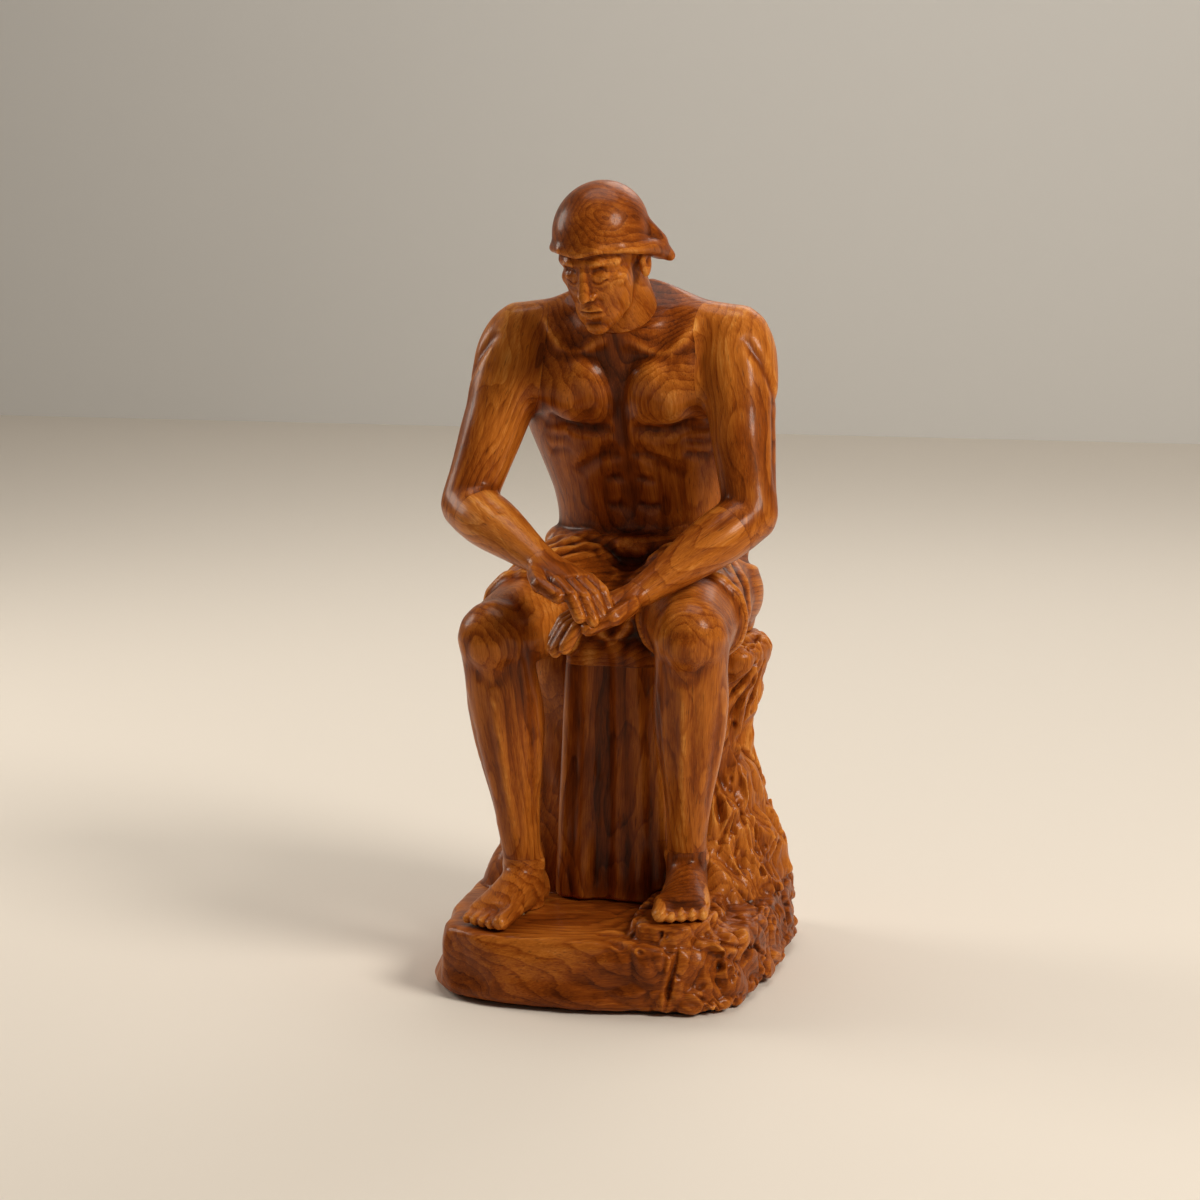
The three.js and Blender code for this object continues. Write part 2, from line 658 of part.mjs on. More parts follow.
const archProfile = (half) => [
  [0, 3.5, 4, 5], [0.08, 5.2, 6.5, 5], [0.3, 6, 11.5, 5], [0.5, 6.2, 9, 5],
  [0.78, half * 0.94, 4.4, 5], [1, half, 1.4, 5],
];
const heelProfile = [[-0.6, 5.8, 5.6, 6.8], [0.5, 5.9, 6.4, 8], [1, 5.9, 7, 9]];
const toeShares = [1, 0.93, 0.84, 0.74, 0.63];

function foot(joints) {
  const { side, ankle, sole } = joints;
  const turn = new THREE.Quaternion().setFromAxisAngle(up, side * toeOut);
  const at = (x, y, z) => vec(side * x, -y, z).applyQuaternion(turn).add(vec(ankle.x, ankle.y, sole));
  const ballAhead = footLength * 0.5;
  const half = footBreadth / 2;
  const arch = limb(at(0, -footLength * 0.25, 4), at(0.5, ballAhead, 4), up, archProfile(half), 0, 8);
  const toes = toeShares.map((share, i) => {
    const x = -half * 0.78 + half * 0.4 * i;
    const radius = i ? half * 0.215 : half * 0.31;
    const root = at(x, ballAhead - 3, radius + 1.4);
    const tip = at(x * 0.96, ballAhead + footLength * 0.25 * share - radius - 1, radius + 0.2);
    return stroke(root, tip, radius);
  });
  const heel = limb(ankle, at(0, 0, 0), front, heelProfile, 0, 4);
  const solid = carried(carried(join([arch, ...toes, heel]), ankleSeam(joints)), soleSeam(joints));
  return solid.subtract(seatRock(glueGap));
}

// Scene

const polishedWood = new THREE.MeshStandardMaterial({ color: "#6f3512", roughness: 0.38, metalness: 0 });
const hewnWood = new THREE.MeshStandardMaterial({ color: "#7d4417", roughness: 0.55, metalness: 0 });
const pegWood = new THREE.MeshStandardMaterial({ color: "#c49a63", roughness: 0.7, metalness: 0 });
const feltCloth = new THREE.MeshStandardMaterial({ color: "#3a2a20", roughness: 1, metalness: 0 });

const lapClearance = lapCloth(glueGap);
const legClearances = bothLegs.map((joints) => legShape(joints, glueGap));

function place(group, name, solid, material, at = vec(0, 0, 0)) {
  const mesh = new THREE.Mesh(geometryOf(solid.translate([-at.x, -at.y, -at.z])), material);
  mesh.name = name;
  mesh.position.copy(at);
  group.add(mesh);
}

function placePegs(group, name, { axis, peg, pegPlaces }, endings = [""]) {
  pegPlaces.forEach((at, i) => {
    const geometry = new THREE.CylinderGeometry(peg.radius, peg.radius, peg.length, pegSides);
    const mesh = new THREE.Mesh(geometry, pegWood);
    mesh.name = name + endings[i];
    mesh.position.copy(at);
    mesh.quaternion.setFromUnitVectors(vec(0, 1, 0), axis);
    group.add(mesh);
  });
}

const carving = new THREE.Group();
const base = new THREE.Group();
const figure = new THREE.Group();
carving.add(base, figure);
const bothEnds = ["_right", "_left"];

place(base, "base_felt", felt(), feltCloth);
place(base, "plinth", plinth(), hewnWood);
place(base, "seat_rock", drill(drill(seatRock(), plinthSeam), seatSeam), hewnWood, seatMiddle);
placePegs(base, "seat_foot_peg", plinthSeam, bothEnds);
placePegs(base, "seat_top_peg", seatSeam, bothEnds);

place(figure, "draped_lap", lap(), polishedWood, waist);
place(figure, "cloth_fall", clothFall(), polishedWood, lapMiddle);
place(figure, "torso", torso(), polishedWood, waist);
place(figure, "head", head(), polishedWood, headMiddle);
placePegs(figure, "waist_peg", waistSeam, bothEnds);
placePegs(figure, "neck_peg", neckSeam);

for (const [word, joints, hand] of [["right", rightArm, rightHand], ["left", leftArm, leftHand]]) {
  place(figure, `${word}_upper_arm`, upperArm(joints), polishedWood, joints.shoulder);
  place(figure, `${word}_forearm`, forearm(joints), polishedWood, joints.elbow);
  place(figure, `${word}_hand`, hand(), polishedWood, joints.wrist);
  placePegs(figure, `${word}_shoulder_peg`, shoulderSeam(joints));
  placePegs(figure, `${word}_elbow_peg`, elbowSeam(joints));
  placePegs(figure, `${word}_wrist_peg`, wristSeam(joints));
}

for (const [word, joints] of [["right", rightLeg], ["left", leftLeg]]) {
  place(figure, `${word}_leg`, leg(joints), polishedWood, joints.knee);
  place(figure, `${word}_foot`, foot(joints), polishedWood, joints.ankle);
  placePegs(figure, `${word}_thigh_peg`, thighSeam(joints));
  placePegs(figure, `${word}_ankle_peg`, ankleSeam(joints));
  placePegs(figure, `${word}_sole_peg`, soleSeam(joints));
}

// The origin lies under the middle of the whole carving.
const middle = new THREE.Box3().setFromObject(carving).getCenter(vec(0, 0, 0));
carving.position.set(-middle.x, -middle.y, 0);

export default carving;
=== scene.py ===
# A seated figure carved in hardwood, and the rough rock that it sits on. The carving is made of
# pegged blocks. Each group of blocks is modelled as one lump of clay over its joints, carved and
# smoothed, and then sawn into its blocks again at the pegs.

import math

import bpy
import numpy as np
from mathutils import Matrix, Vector, noise
from mathutils.bvhtree import BVHTree
from mathutils.kdtree import KDTree


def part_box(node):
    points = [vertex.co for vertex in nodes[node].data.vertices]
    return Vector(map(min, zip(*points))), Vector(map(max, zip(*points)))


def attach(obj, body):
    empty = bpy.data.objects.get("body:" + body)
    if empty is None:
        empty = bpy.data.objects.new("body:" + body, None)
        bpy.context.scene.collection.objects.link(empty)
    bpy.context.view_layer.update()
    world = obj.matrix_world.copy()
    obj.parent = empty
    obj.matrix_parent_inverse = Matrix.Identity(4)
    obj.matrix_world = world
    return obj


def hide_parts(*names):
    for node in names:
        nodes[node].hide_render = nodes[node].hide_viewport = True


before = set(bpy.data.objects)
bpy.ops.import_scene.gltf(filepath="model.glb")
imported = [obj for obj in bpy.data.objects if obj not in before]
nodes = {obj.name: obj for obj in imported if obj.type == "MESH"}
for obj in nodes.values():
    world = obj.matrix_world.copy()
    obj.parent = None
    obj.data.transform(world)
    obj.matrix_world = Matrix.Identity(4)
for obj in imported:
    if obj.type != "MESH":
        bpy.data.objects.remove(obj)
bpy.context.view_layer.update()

MM = 0.001
SIDES = {"right": -1, "left": 1}

# Clay
BODY_VOXEL = 0.6 * MM
HAND_VOXEL = 0.32 * MM
HEAD_VOXEL = 0.27 * MM
ROCK_VOXEL = 0.5 * MM
SWELL = 0.3 * MM  # closes the glue lines, and makes up for what smoothing takes off
FINE_SWELL = 0.2 * MM  # the same for hands and feet
PLINTH_SWELL = 0.1 * MM
KERF = 0.04 * MM
PEG_ROOM = 0.15 * MM
FLUSH_GAP = 2 * MM  # the most that a point is drawn to another clay
HOLLOW_DEPTH = 0.3 * MM  # a full hollow of the figure
ROCK_HOLLOW_DEPTH = 0.6 * MM
MOST_FACES = 180000  # triangles of a piece of rock

# Rounds of smoothing
BODY_ROUNDS = 24
CARVED_ROUNDS = 5  # after the strokes on trunk and limbs
SHOULDER_ROUNDS = 70  # more of it at two seams
ANKLE_ROUNDS = 40
LIMB_END_ROUNDS = 100  # wrist and ankle, in the clay of hand and foot
BALL_ROUNDS = 50  # ball of the foot
FINE_ROUNDS = 9  # hands and feet
HAIR_ROUNDS = 70
NECK_ROUNDS = 140
FEATURE_ROUNDS = 7
FACE_ROUNDS = 3  # after the strokes on the face
ROCK_ROUNDS = 14

# Radius of the saw at each seam
BLADE = {
    "neck": 18 * MM, "shoulder": 33 * MM, "elbow": 15 * MM, "wrist": 11 * MM,
    "waist": 36 * MM, "cloth": 21 * MM, "thigh": 20 * MM, "ankle": 12 * MM,
}

# Joints of the body against its pegs
THIGH_LENGTH = 69 * MM
THIGH_SEAM = 0.7  # share of the thigh
ELBOW_SEAM = 8 * MM  # past the elbow
ANKLE_SEAM = 3.5 * MM  # above the ankle
SHOULDER_SEAM = np.array([-5, 1, 2]) * MM  # from the left shoulder
BALL_AHEAD = 21.5 * MM  # ankle to the ball of the foot
TOE_OUT = math.radians(9)
NAPE_RISE = 12.6 * MM  # along the neck, from its seam
HEAD_RISE = np.array([0, -4.5, 10]) * MM  # from the nape to the head's middle, in the head's frame
HEAD_BOW = math.radians(29)
HEAD_TURN = math.radians(-11)


# Landmarks

def vec(x, y, z):
    return np.array([x, y, z], float)


def mm(x, y, z):
    return vec(x, y, z) * MM


def unit(v):
    return v / np.linalg.norm(v)


def mixed(a, b, share):
    return a + (b - a) * share


def node_points(name):
    return np.array([v.co for v in nodes[name].data.vertices], float)


def node_middle(name):
    points = node_points(name)
    return (points.min(0) + points.max(0)) / 2


def peg_axis(name, towards):
    """The direction of a peg, on the side of a point."""
    points = node_points(name) - node_middle(name)
    axis = np.linalg.svd(points, full_matrices=False)[2][0]
    return axis if axis @ (towards - node_middle(name)) > 0 else -axis


def turned(v, bow, turn):
    """A vector bowed forward about X and then turned about Z."""
    x, y, z = v
    y, z = y * math.cos(bow) - z * math.sin(bow), y * math.sin(bow) + z * math.cos(bow)
    x, y = x * math.cos(turn) - y * math.sin(turn), x * math.sin(turn) + y * math.cos(turn)
    return vec(x, y, z)


class Limbs:
    """The joints of one side of the body."""

    def __init__(self, word):
        self.word, self.side = word, SIDES[word]
        self.shoulder = node_middle(f"{word}_shoulder_peg") - SHOULDER_SEAM * vec(self.side, 1, 1)
        self.wrist = node_middle(f"{word}_wrist_peg")
        forearm = peg_axis(f"{word}_elbow_peg", self.wrist)
        self.elbow = node_middle(f"{word}_elbow_peg") - ELBOW_SEAM * forearm
        self.ankle = node_middle(f"{word}_ankle_peg") - vec(0, 0, ANKLE_SEAM)
        seam = node_middle(f"{word}_thigh_peg")
        thigh = peg_axis(f"{word}_thigh_peg", self.ankle)
        self.hip = seam - THIGH_SEAM * THIGH_LENGTH * thigh
        self.knee = seam + (1 - THIGH_SEAM) * THIGH_LENGTH * thigh


right, left = Limbs("right"), Limbs("left")
both = (right, left)
waist = (node_middle("waist_peg_right") + node_middle("waist_peg_left")) / 2
neck = node_middle("neck_peg")
neck_axis = peg_axis("neck_peg", node_middle("head"))
collar = (right.shoulder + left.shoulder) / 2 + mm(0, -5, 5)
nape = neck + NAPE_RISE * neck_axis
head_middle = nape + turned(HEAD_RISE, HEAD_BOW, HEAD_TURN)
middle_x = waist[0]


def head_way(x, y, z):
    return unit(turned(vec(x, y, z), HEAD_BOW, HEAD_TURN))


def curve_through(points, count):
    """Steps along a smooth curve through a few points."""
    knots = np.array(points, float)
    knots = np.vstack([2 * knots[0] - knots[1], knots, 2 * knots[-1] - knots[-2]])
    place = np.linspace(0, len(knots) - 3, count)
    start = np.minimum(place.astype(int), len(knots) - 4)
    t = (place - start)[:, None]
    a, b, c, d = (knots[start + k] for k in range(4))
    return b + 0.5 * t * (c - a + t * (2 * a - 5 * b + 4 * c - d + t * (3 * b - a - 3 * c + d)))


# Clay: copies of blocks, lumps given one by one, and one skin over them all

def alone(obj):
    """Makes an object the only one selected."""
    bpy.ops.object.select_all(action="DESELECT")
    obj.select_set(True)
    bpy.context.view_layer.objects.active = obj


def joined(objects, name):
    bpy.ops.object.select_all(action="DESELECT")
    for obj in objects:
        obj.select_set(True)
    bpy.context.view_layer.objects.active = objects[0]
    bpy.ops.object.join()
    objects[0].name = name
    return objects[0]


def edited(obj, *steps):
    """Runs steps on the whole of an object's mesh."""
    alone(obj)
    bpy.ops.object.mode_set(mode="EDIT")
    bpy.ops.mesh.select_all(action="SELECT")
    for step, values in steps:
        step(**values)
    bpy.ops.object.mode_set(mode="OBJECT")
    return obj


def added(name, data):
    """A new object in the scene."""
    obj = bpy.data.objects.new(name, data)
    bpy.context.collection.objects.link(obj)
    return obj


def block_copy(name, swell=SWELL):
    """A merged copy of a block, a little fatter than the block."""
    mesh = nodes[name].data.copy()
    mesh.materials.clear()
    obj = added("copy_" + name, mesh)
    merge = (bpy.ops.mesh.remove_doubles, {"threshold": 0.002 * MM})
    return edited(obj, merge, (bpy.ops.transform.shrink_fatten, {"value": swell}))


def trimmed(obj, at, normal):
    """Cuts off what lies beyond a flat, and closes the cut."""
    values = {"plane_co": at, "plane_no": normal, "use_fill": True, "clear_outer": True}
    return edited(obj, (bpy.ops.mesh.bisect, values))


def aimed(axis):
    return Vector(axis).to_track_quat("Z", "Y").to_euler()


def lump(at, radii, axis=(0, 0, 1)):
    """An egg of clay, its third radius along an axis."""
    bpy.ops.mesh.primitive_uv_sphere_add(
        segments=28, ring_count=18, radius=1, location=at, rotation=aimed(axis), scale=radii,
    )
    return bpy.context.object


def roll(start, end, first, last):
    """A roll of clay with round ends, its radii in mm."""
    first, last = first * MM, last * MM
    span = end - start
    bpy.ops.mesh.primitive_cone_add(
        vertices=24, radius1=first, radius2=last, depth=np.linalg.norm(span),
        location=(start + end) / 2, rotation=aimed(span),
    )
    cone = bpy.context.object
    return joined([cone, lump(start, [first] * 3), lump(end, [last] * 3)], "roll")


def moulded(obj):
    """Puts an object's place, turn and scale into its mesh."""
    alone(obj)
    bpy.ops.object.transform_apply(location=True, rotation=True, scale=True)
    return obj


def apply_modifier(obj, kind, **values):
    alone(obj)
    modifier = obj.modifiers.new(kind.title(), kind)
    for key, value in values.items():
        setattr(modifier, key, value)
    bpy.ops.object.modifier_apply(modifier=modifier.name)


def clay(name, pieces, voxel):
    """One closed skin over pieces that overlap."""
    for piece in pieces:
        moulded(piece)
    obj = joined(pieces, name)
    apply_modifier(obj, "REMESH", mode="VOXEL", voxel_size=voxel, use_smooth_shade=True)
    return obj


# Carving: strokes on the points of a skin

def table(rows, key, width, kind=float):
    """One value of each vertex or edge, as rows of numbers."""
    values = np.empty(len(rows) * width, kind)
    rows.foreach_get(key, values)
    return values.reshape(-1, width)


class Skin:
    """The points of a piece, and the carver's strokes on them."""

    def __init__(self, obj):
        self.obj = obj
        self.points = table(obj.data.vertices, "co", 3)
        self.edges = table(obj.data.edges, "vertices", 2, np.int32)
        self.read_normals()

    def read_normals(self):
        self.normals = table(self.obj.data.vertices, "normal", 3)
        self.tree = None

    def write(self):
        self.obj.data.vertices.foreach_set("co", self.points.ravel())
        self.obj.data.update()
        self.read_normals()

    def nearest(self, places):
        """The skin's points that lie nearest to some places."""
        if self.tree is None:
            self.tree = KDTree(len(self.points))
            for index, point in enumerate(self.points):
                self.tree.insert(point, index)
            self.tree.balance()
        return [self.tree.find(place)[1] for place in places]

    def averaged(self, values, rounds, share=0.5):
        """Values evened out between neighbours, by a share that may differ from point to point."""
        a, b = self.edges.T
        count = len(self.points)
        degree = np.bincount(a, minlength=count) + np.bincount(b, minlength=count)
        columns = []
        for column in values.T:
            for _ in range(rounds):
                total = np.bincount(a, column[b], count) + np.bincount(b, column[a], count)
                column = column + share * (total / degree - column)
            columns.append(column)
        return np.stack(columns, axis=1)

    def smooth(self, rounds, share=0.5):
        self.points = self.averaged(self.points, rounds, share)
        self.write()

    def stroke(self, path, width, height, fade=0.3, sharp=False):
        """A ridge along a path laid on the skin, or a groove where the height is negative. In mm."""
        width, height = width * MM, height * MM
        if len(path) > 1:
            length = np.linalg.norm(np.diff(curve_through(path, 30), axis=0), axis=1).sum()
            path = curve_through(path, max(8, int(length / (0.5 * width))))
        near = self.nearest(path)
        route, facing = self.points[near], self.normals[near]
        low, high = route.min(0) - 2.5 * width, route.max(0) + 2.5 * width
        close = np.flatnonzero(((self.points > low) & (self.points < high)).all(1))
        gaps = np.linalg.norm(self.points[close][:, None] - route[None], axis=2)
        step = gaps.argmin(1)
        gap = gaps.min(1) / width
        shape = np.clip(1 - gap / 1.6, 0, 1) ** 2 if sharp else np.exp(-(gap ** 2))
        along = step / max(1, len(route) - 1)
        ends = np.clip(np.minimum(along, 1 - along) / fade, 0, 1) if len(path) > 1 and fade else 1
        same_side = np.clip((self.normals[close] * facing[step]).sum(1) + 0.2, 0, 1)
        amount = height * shape * same_side * np.sqrt(ends)
        self.points[close] += self.normals[close] * amount[:, None]

    def flush(self, tree, past, reach):
        """Draws points past a seam to another clay's skin, fully at the seam and less up to a reach."""
        share = np.clip(1 - past / reach, 0, 1) * (past > -FLUSH_GAP)
        for index in np.flatnonzero(share):
            found = tree.find_nearest(Vector(self.points[index]), FLUSH_GAP)[0]
            if found:
                self.points[index] = mixed(self.points[index], np.array(found), share[index])
        self.write()

    def note_hollows(self, rounds, depth, share=0.5):
        """Keeps how hollow each point lies, from -1 on a ridge to 1 in a groove. The wood reads it for
        painted shade in grooves and painted light on ridges, besides the stain that pools in grooves.
        """
        offset = ((self.averaged(self.points, rounds, share) - self.points) * self.normals).sum(1)
        hollow = self.obj.data.attributes.new("hollow", "FLOAT", "POINT")
        hollow.data.foreach_set("value", np.clip(offset / depth, -1, 1).astype(np.float32))


# Sawing

def cutter(at, axis, radius, depth, sides=48):
    bpy.ops.mesh.primitive_cylinder_add(
        vertices=sides, radius=radius, depth=depth, location=at, rotation=aimed(axis),
    )
    bpy.ops.object.transform_apply(location=True, rotation=True, scale=True)
    return bpy.context.object


def cut(obj, blade, operation="DIFFERENCE"):
    apply_modifier(obj, "BOOLEAN", operation=operation, solver="MANIFOLD", object=blade)
    bpy.data.objects.remove(blade)


def sawn(obj, seams):
    """Saws an object through at each seam, (point, axis, blade radius), and returns its parts."""
    cut(obj, joined([cutter(at, axis, radius, KERF) for at, axis, radius in seams], "blades"))
    edited(obj, (bpy.ops.mesh.separate, {"type": "LOOSE"}))
    return list(bpy.context.selected_objects)


def misfit(part, node):
    """How far a part's box is from a block's box."""
    points = np.array([corner[:] for corner in part.bound_box])
    block = node_points(node)
    return np.abs(points.min(0) - block.min(0)).sum() + np.abs(points.max(0) - block.max(0)).sum()


def picked(parts, names):
    """The parts that stand for the named blocks. The others are thrown away."""
    found = {name: min(parts, key=lambda part: misfit(part, name)) for name in names}
    for part in parts:
        if part not in found.values():
            bpy.data.objects.remove(part)
    return found


def bored(obj, pegs):
    """Holes for the pegs that hold a block."""
    holes = []
    for peg in pegs:
        middle = node_middle(peg)
        points = node_points(peg) - middle
        axis = np.linalg.svd(points, full_matrices=False)[2][0]
        along = points @ axis
        radius = np.linalg.norm(points - np.outer(along, axis), axis=1).max()
        holes.append(cutter(middle, axis, radius + PEG_ROOM, 2 * (along.max() + PEG_ROOM), 24))
    cut(obj, joined(holes, "holes"))


def peg_seam(peg, towards, blade):
    """A seam across a peg: its point, its axis and the radius of the saw."""
    return node_middle(peg), peg_axis(peg, towards), BLADE[blade]


def neck_seam():
    return peg_seam("neck_peg", node_middle("head"), "neck")


def shoulder_seam(limbs):
    return peg_seam(f"{limbs.word}_shoulder_peg", limbs.elbow, "shoulder")


def elbow_seam(limbs):
    return peg_seam(f"{limbs.word}_elbow_peg", limbs.wrist, "elbow")


def wrist_seam(limbs):
    return limbs.wrist, unit(limbs.wrist - limbs.elbow), BLADE["wrist"]


def ankle_seam(limbs):
    return limbs.ankle + vec(0, 0, ANKLE_SEAM), vec(0, 0, 1), BLADE["ankle"]


def past_seam(skin, seam):
    """How far each point of a skin lies past a seam."""
    at, axis, _ = seam
    return (skin.points - at) @ axis


# Trunk and arms

clay_skins = {}  # the body's and each arm's, for the pieces that are joined to them
SPINE = curve_through([waist, mixed(waist, neck, 0.5) + mm(0, 5, 4), neck], 101)


def spine_ways(share):
    """The spine's point at a share of the way from waist to neck, its way up and its way forward."""
    step = int(round(share * 100))
    up = unit(SPINE[min(step + 1, 100)] - SPINE[max(step - 1, 0)])
    return SPINE[step], up, np.cross(vec(1, 0, 0), up)


def surface(obj):
    """An object's surface, to find points on it."""
    mesh = obj.data
    return BVHTree.FromPolygons([v.co for v in mesh.vertices], [p.vertices for p in mesh.polygons])


TRUNK = surface(nodes["torso"])


def on_trunk(share, x, front=True):
    """The point of the trunk's skin before or behind the spine, at so many mm to the left."""
    start, _, ahead = spine_ways(share)
    way = ahead if front else -ahead
    start = start + mm(x, 0, 0)
    hit = TRUNK.ray_cast(Vector(start + way * 80 * MM), Vector(-way))[0]
    return np.array(hit) if hit else start + way * 12 * MM


def trunk_path(side, places, front=True):
    """Points of the trunk's skin on one side, each a share of the spine and mm from it."""
    return [on_trunk(share, side * x, front) for share, x in places]


def pad(at, radii, way, rise):
    """A flat egg set into the skin, which stands out by a rise. Radii and rise are in mm."""
    return lump(at - way * (radii[2] - rise) * MM, mm(*radii), way)


def trunk_lumps(limbs):
    side = limbs.side
    ahead = spine_ways(0.72)[2]
    behind = -spine_ways(0.66)[2]
    top = limbs.shoulder + mm(-side * 7, 2, 6)
    return [
        pad(on_trunk(0.73, side * 11), (9, 13, 7), unit(ahead + vec(side * 0.25, 0, 0)), 2.2),
        pad(on_trunk(0.73, side * 18), (9, 10, 7), unit(ahead + vec(side * 0.5, 0, 0)), 2.2),
        pad(on_trunk(0.64, side * 16, False), (8, 11, 7), unit(behind + vec(side * 0.3, 0, 0)), 2.0),
        roll(neck - neck_axis * 4 * MM + mm(side * 4, 2, 2), top, 5.5, 5),
        roll(on_trunk(0.5, side * 21, False) - behind * 6 * MM, limbs.shoulder + mm(side, 3, -8), 7, 5),
    ]


def arm_ways(limbs):
    """The ways of the upper arm and the forearm, the way out from the body and the arm's front."""
    upper, lower = unit(limbs.elbow - limbs.shoulder), unit(limbs.wrist - limbs.elbow)
    out = unit(vec(limbs.side, 0, 0) - upper * (limbs.side * upper[0]))
    ahead = np.cross(upper, out) * limbs.side
    return upper, lower, out, ahead if ahead[1] < 0 else -ahead


def arm_lumps(limbs):
    upper, lower, out, ahead = arm_ways(limbs)
    shoulder, elbow, wrist = limbs.shoulder, limbs.elbow, limbs.wrist
    pec = on_trunk(0.75, limbs.side * 15) - spine_ways(0.75)[2] * 5 * MM
    return [
        lump(shoulder + (upper * 6 + out * 1.6) * MM, mm(10.5, 11.5, 17), upper),
        lump(shoulder + mm(-limbs.side * 6, 0, 4), mm(11, 10, 8)),
        lump(mixed(shoulder, elbow, 0.58) + ahead * 4 * MM, mm(6.8, 6.6, 16), upper),
        lump(mixed(shoulder, elbow, 0.48) + (out * 2 - ahead * 4.6) * MM, mm(6.6, 6.4, 19), upper),
        lump(elbow + (lower * 1 - ahead * 1) * MM, mm(7.4, 7.4, 8.5), lower),
        lump(elbow + (upper * 3.6 - ahead * 3.4) * MM, mm(3.2, 3.2, 4), upper),
        lump(mixed(elbow, wrist, 0.26) + out * 1.8 * MM, mm(6.9, 6.9, 17), lower),
        lump(mixed(elbow, wrist, 0.3) - out * 1.6 * MM, mm(6.3, 6.5, 16), lower),
        roll(pec, shoulder + (upper * 14 - out * 2 + ahead * 3) * MM, 6.5, 5.5),
    ]


def carve_trunk(skin):
    back = [on_trunk(share, 0, False) for share in (0.06, 0.25, 0.5, 0.75, 0.95)]
    skin.stroke(back, 3, -1.0, 0.15)
    front = [on_trunk(share, 0) for share in (0.08, 0.3, 0.5, 0.66, 0.86)]
    skin.stroke(front, 2.4, -0.3, 0.2)
    for limbs in both:
        side = limbs.side
        muscle = trunk_path(side, ((0.08, 6.5), (0.3, 6.5), (0.55, 6.5), (0.75, 6.5)), False)
        skin.stroke(muscle, 4, 0.8)
        blade = trunk_path(side, ((0.8, 9), (0.66, 10), (0.52, 16)), False)
        skin.stroke(blade, 3, -0.8, 0.4)
        edge = trunk_path(side, ((0.6, 3), (0.58, 12), (0.64, 23)))
        skin.stroke(edge, 2.2, -1.5)
        notch = neck - neck_axis * 2 * MM + spine_ways(0.9)[2] * 10 * MM
        outer = limbs.shoulder + mm(-side * 9, -5, 6)
        bone = [notch + mm(side * 2, 0, 0), on_trunk(0.9, side * 14), outer]
        skin.stroke(bone, 1.6, 1.1, 0.25)
        arch = trunk_path(side, ((0.5, 3), (0.4, 9), (0.3, 17)))
        skin.stroke(arch, 2, -0.9)
        for share in (0.18, 0.3, 0.42):
            skin.stroke(trunk_path(side, ((share, 1.5), (share - 0.01, 8))), 1.5, -0.6)
        for share in (0.38, 0.46, 0.54):
            skin.stroke(trunk_path(side, ((share + 0.05, 17), (share, 25))), 1.6, -0.6, 0.4)
        carve_arm(skin, limbs)
    skin.write()


def carve_arm(skin, limbs):
    upper, lower, out, ahead = arm_ways(limbs)
    line = [
        mixed(limbs.shoulder, limbs.elbow, t) + out * 10 * MM + ahead * 1 * MM
        for t in (0.32, 0.6, 0.9)
    ]
    skin.stroke(line, 1.8, -1.1)
    for face in (1, -1):
        cap = ((2, 4, 12), (12, 9, 8), (22, 11, 0))
        line = [limbs.shoulder + (upper * d + out * o + ahead * f * face) * MM for d, o, f in cap]
        skin.stroke(line, 1.8, -1.0)
    inner = np.cross(lower, out) * 8 * MM
    line = [mixed(limbs.elbow, limbs.wrist, t) + out * 3 * MM - inner for t in (0.2, 0.4, 0.58)]
    skin.stroke(line, 1.5, -0.6)
    skin.write()


# Lap, cloth and legs

def leg_lumps(limbs):
    knee, ankle = limbs.knee, limbs.ankle
    shin = unit(ankle - knee)
    ahead = unit(vec(0, -1, 0) + shin * shin[1])
    out = vec(limbs.side, 0, 0)
    calf = mixed(knee, ankle, 0.3)
    return [
        lump(knee + ahead * 5.8 * MM + shin * 1.5 * MM, mm(6.4, 4.8, 7.6), shin),
        lump(calf - ahead * 5 * MM + out * 3.5 * MM, mm(6.4, 7.4, 17), shin),
        lump(calf - ahead * 5 * MM - out * 3.5 * MM + shin * 3 * MM, mm(6.4, 7.4, 18), shin),
        roll(knee + (ahead * 7 + shin * 12) * MM, ankle + (ahead * 3.6 - shin * 14) * MM, 3, 2.4),
        lump(ankle + out * 5 * MM + mm(0, 1, 1), mm(2.4, 2.6, 3)),
        lump(ankle - out * 5 * MM + mm(0, -0.5, 2), mm(2.4, 2.6, 3)),
    ]


CLOTH_LIFT = 14  # mm from the thigh's axis, near the cloth's skin
FOLD_START = -35  # degrees, on the inside of the thigh
BACK_FOLD_STEP = 13  # degrees from one fold behind the hips to the next


def over_thigh(limbs, share, turn):
    """A point by the thigh: share of the way to the knee, and turned from its top to its outside."""
    way = unit(limbs.knee - limbs.hip)
    up = unit(vec(0, 0, 1) - way * way[2])
    out = np.cross(up, way) * (1 if np.cross(up, way)[0] * limbs.side > 0 else -1)
    angle = math.radians(turn)
    lift = up * math.cos(angle) + out * math.sin(angle)
    return mixed(limbs.hip, limbs.knee, share) + lift * CLOTH_LIFT * MM


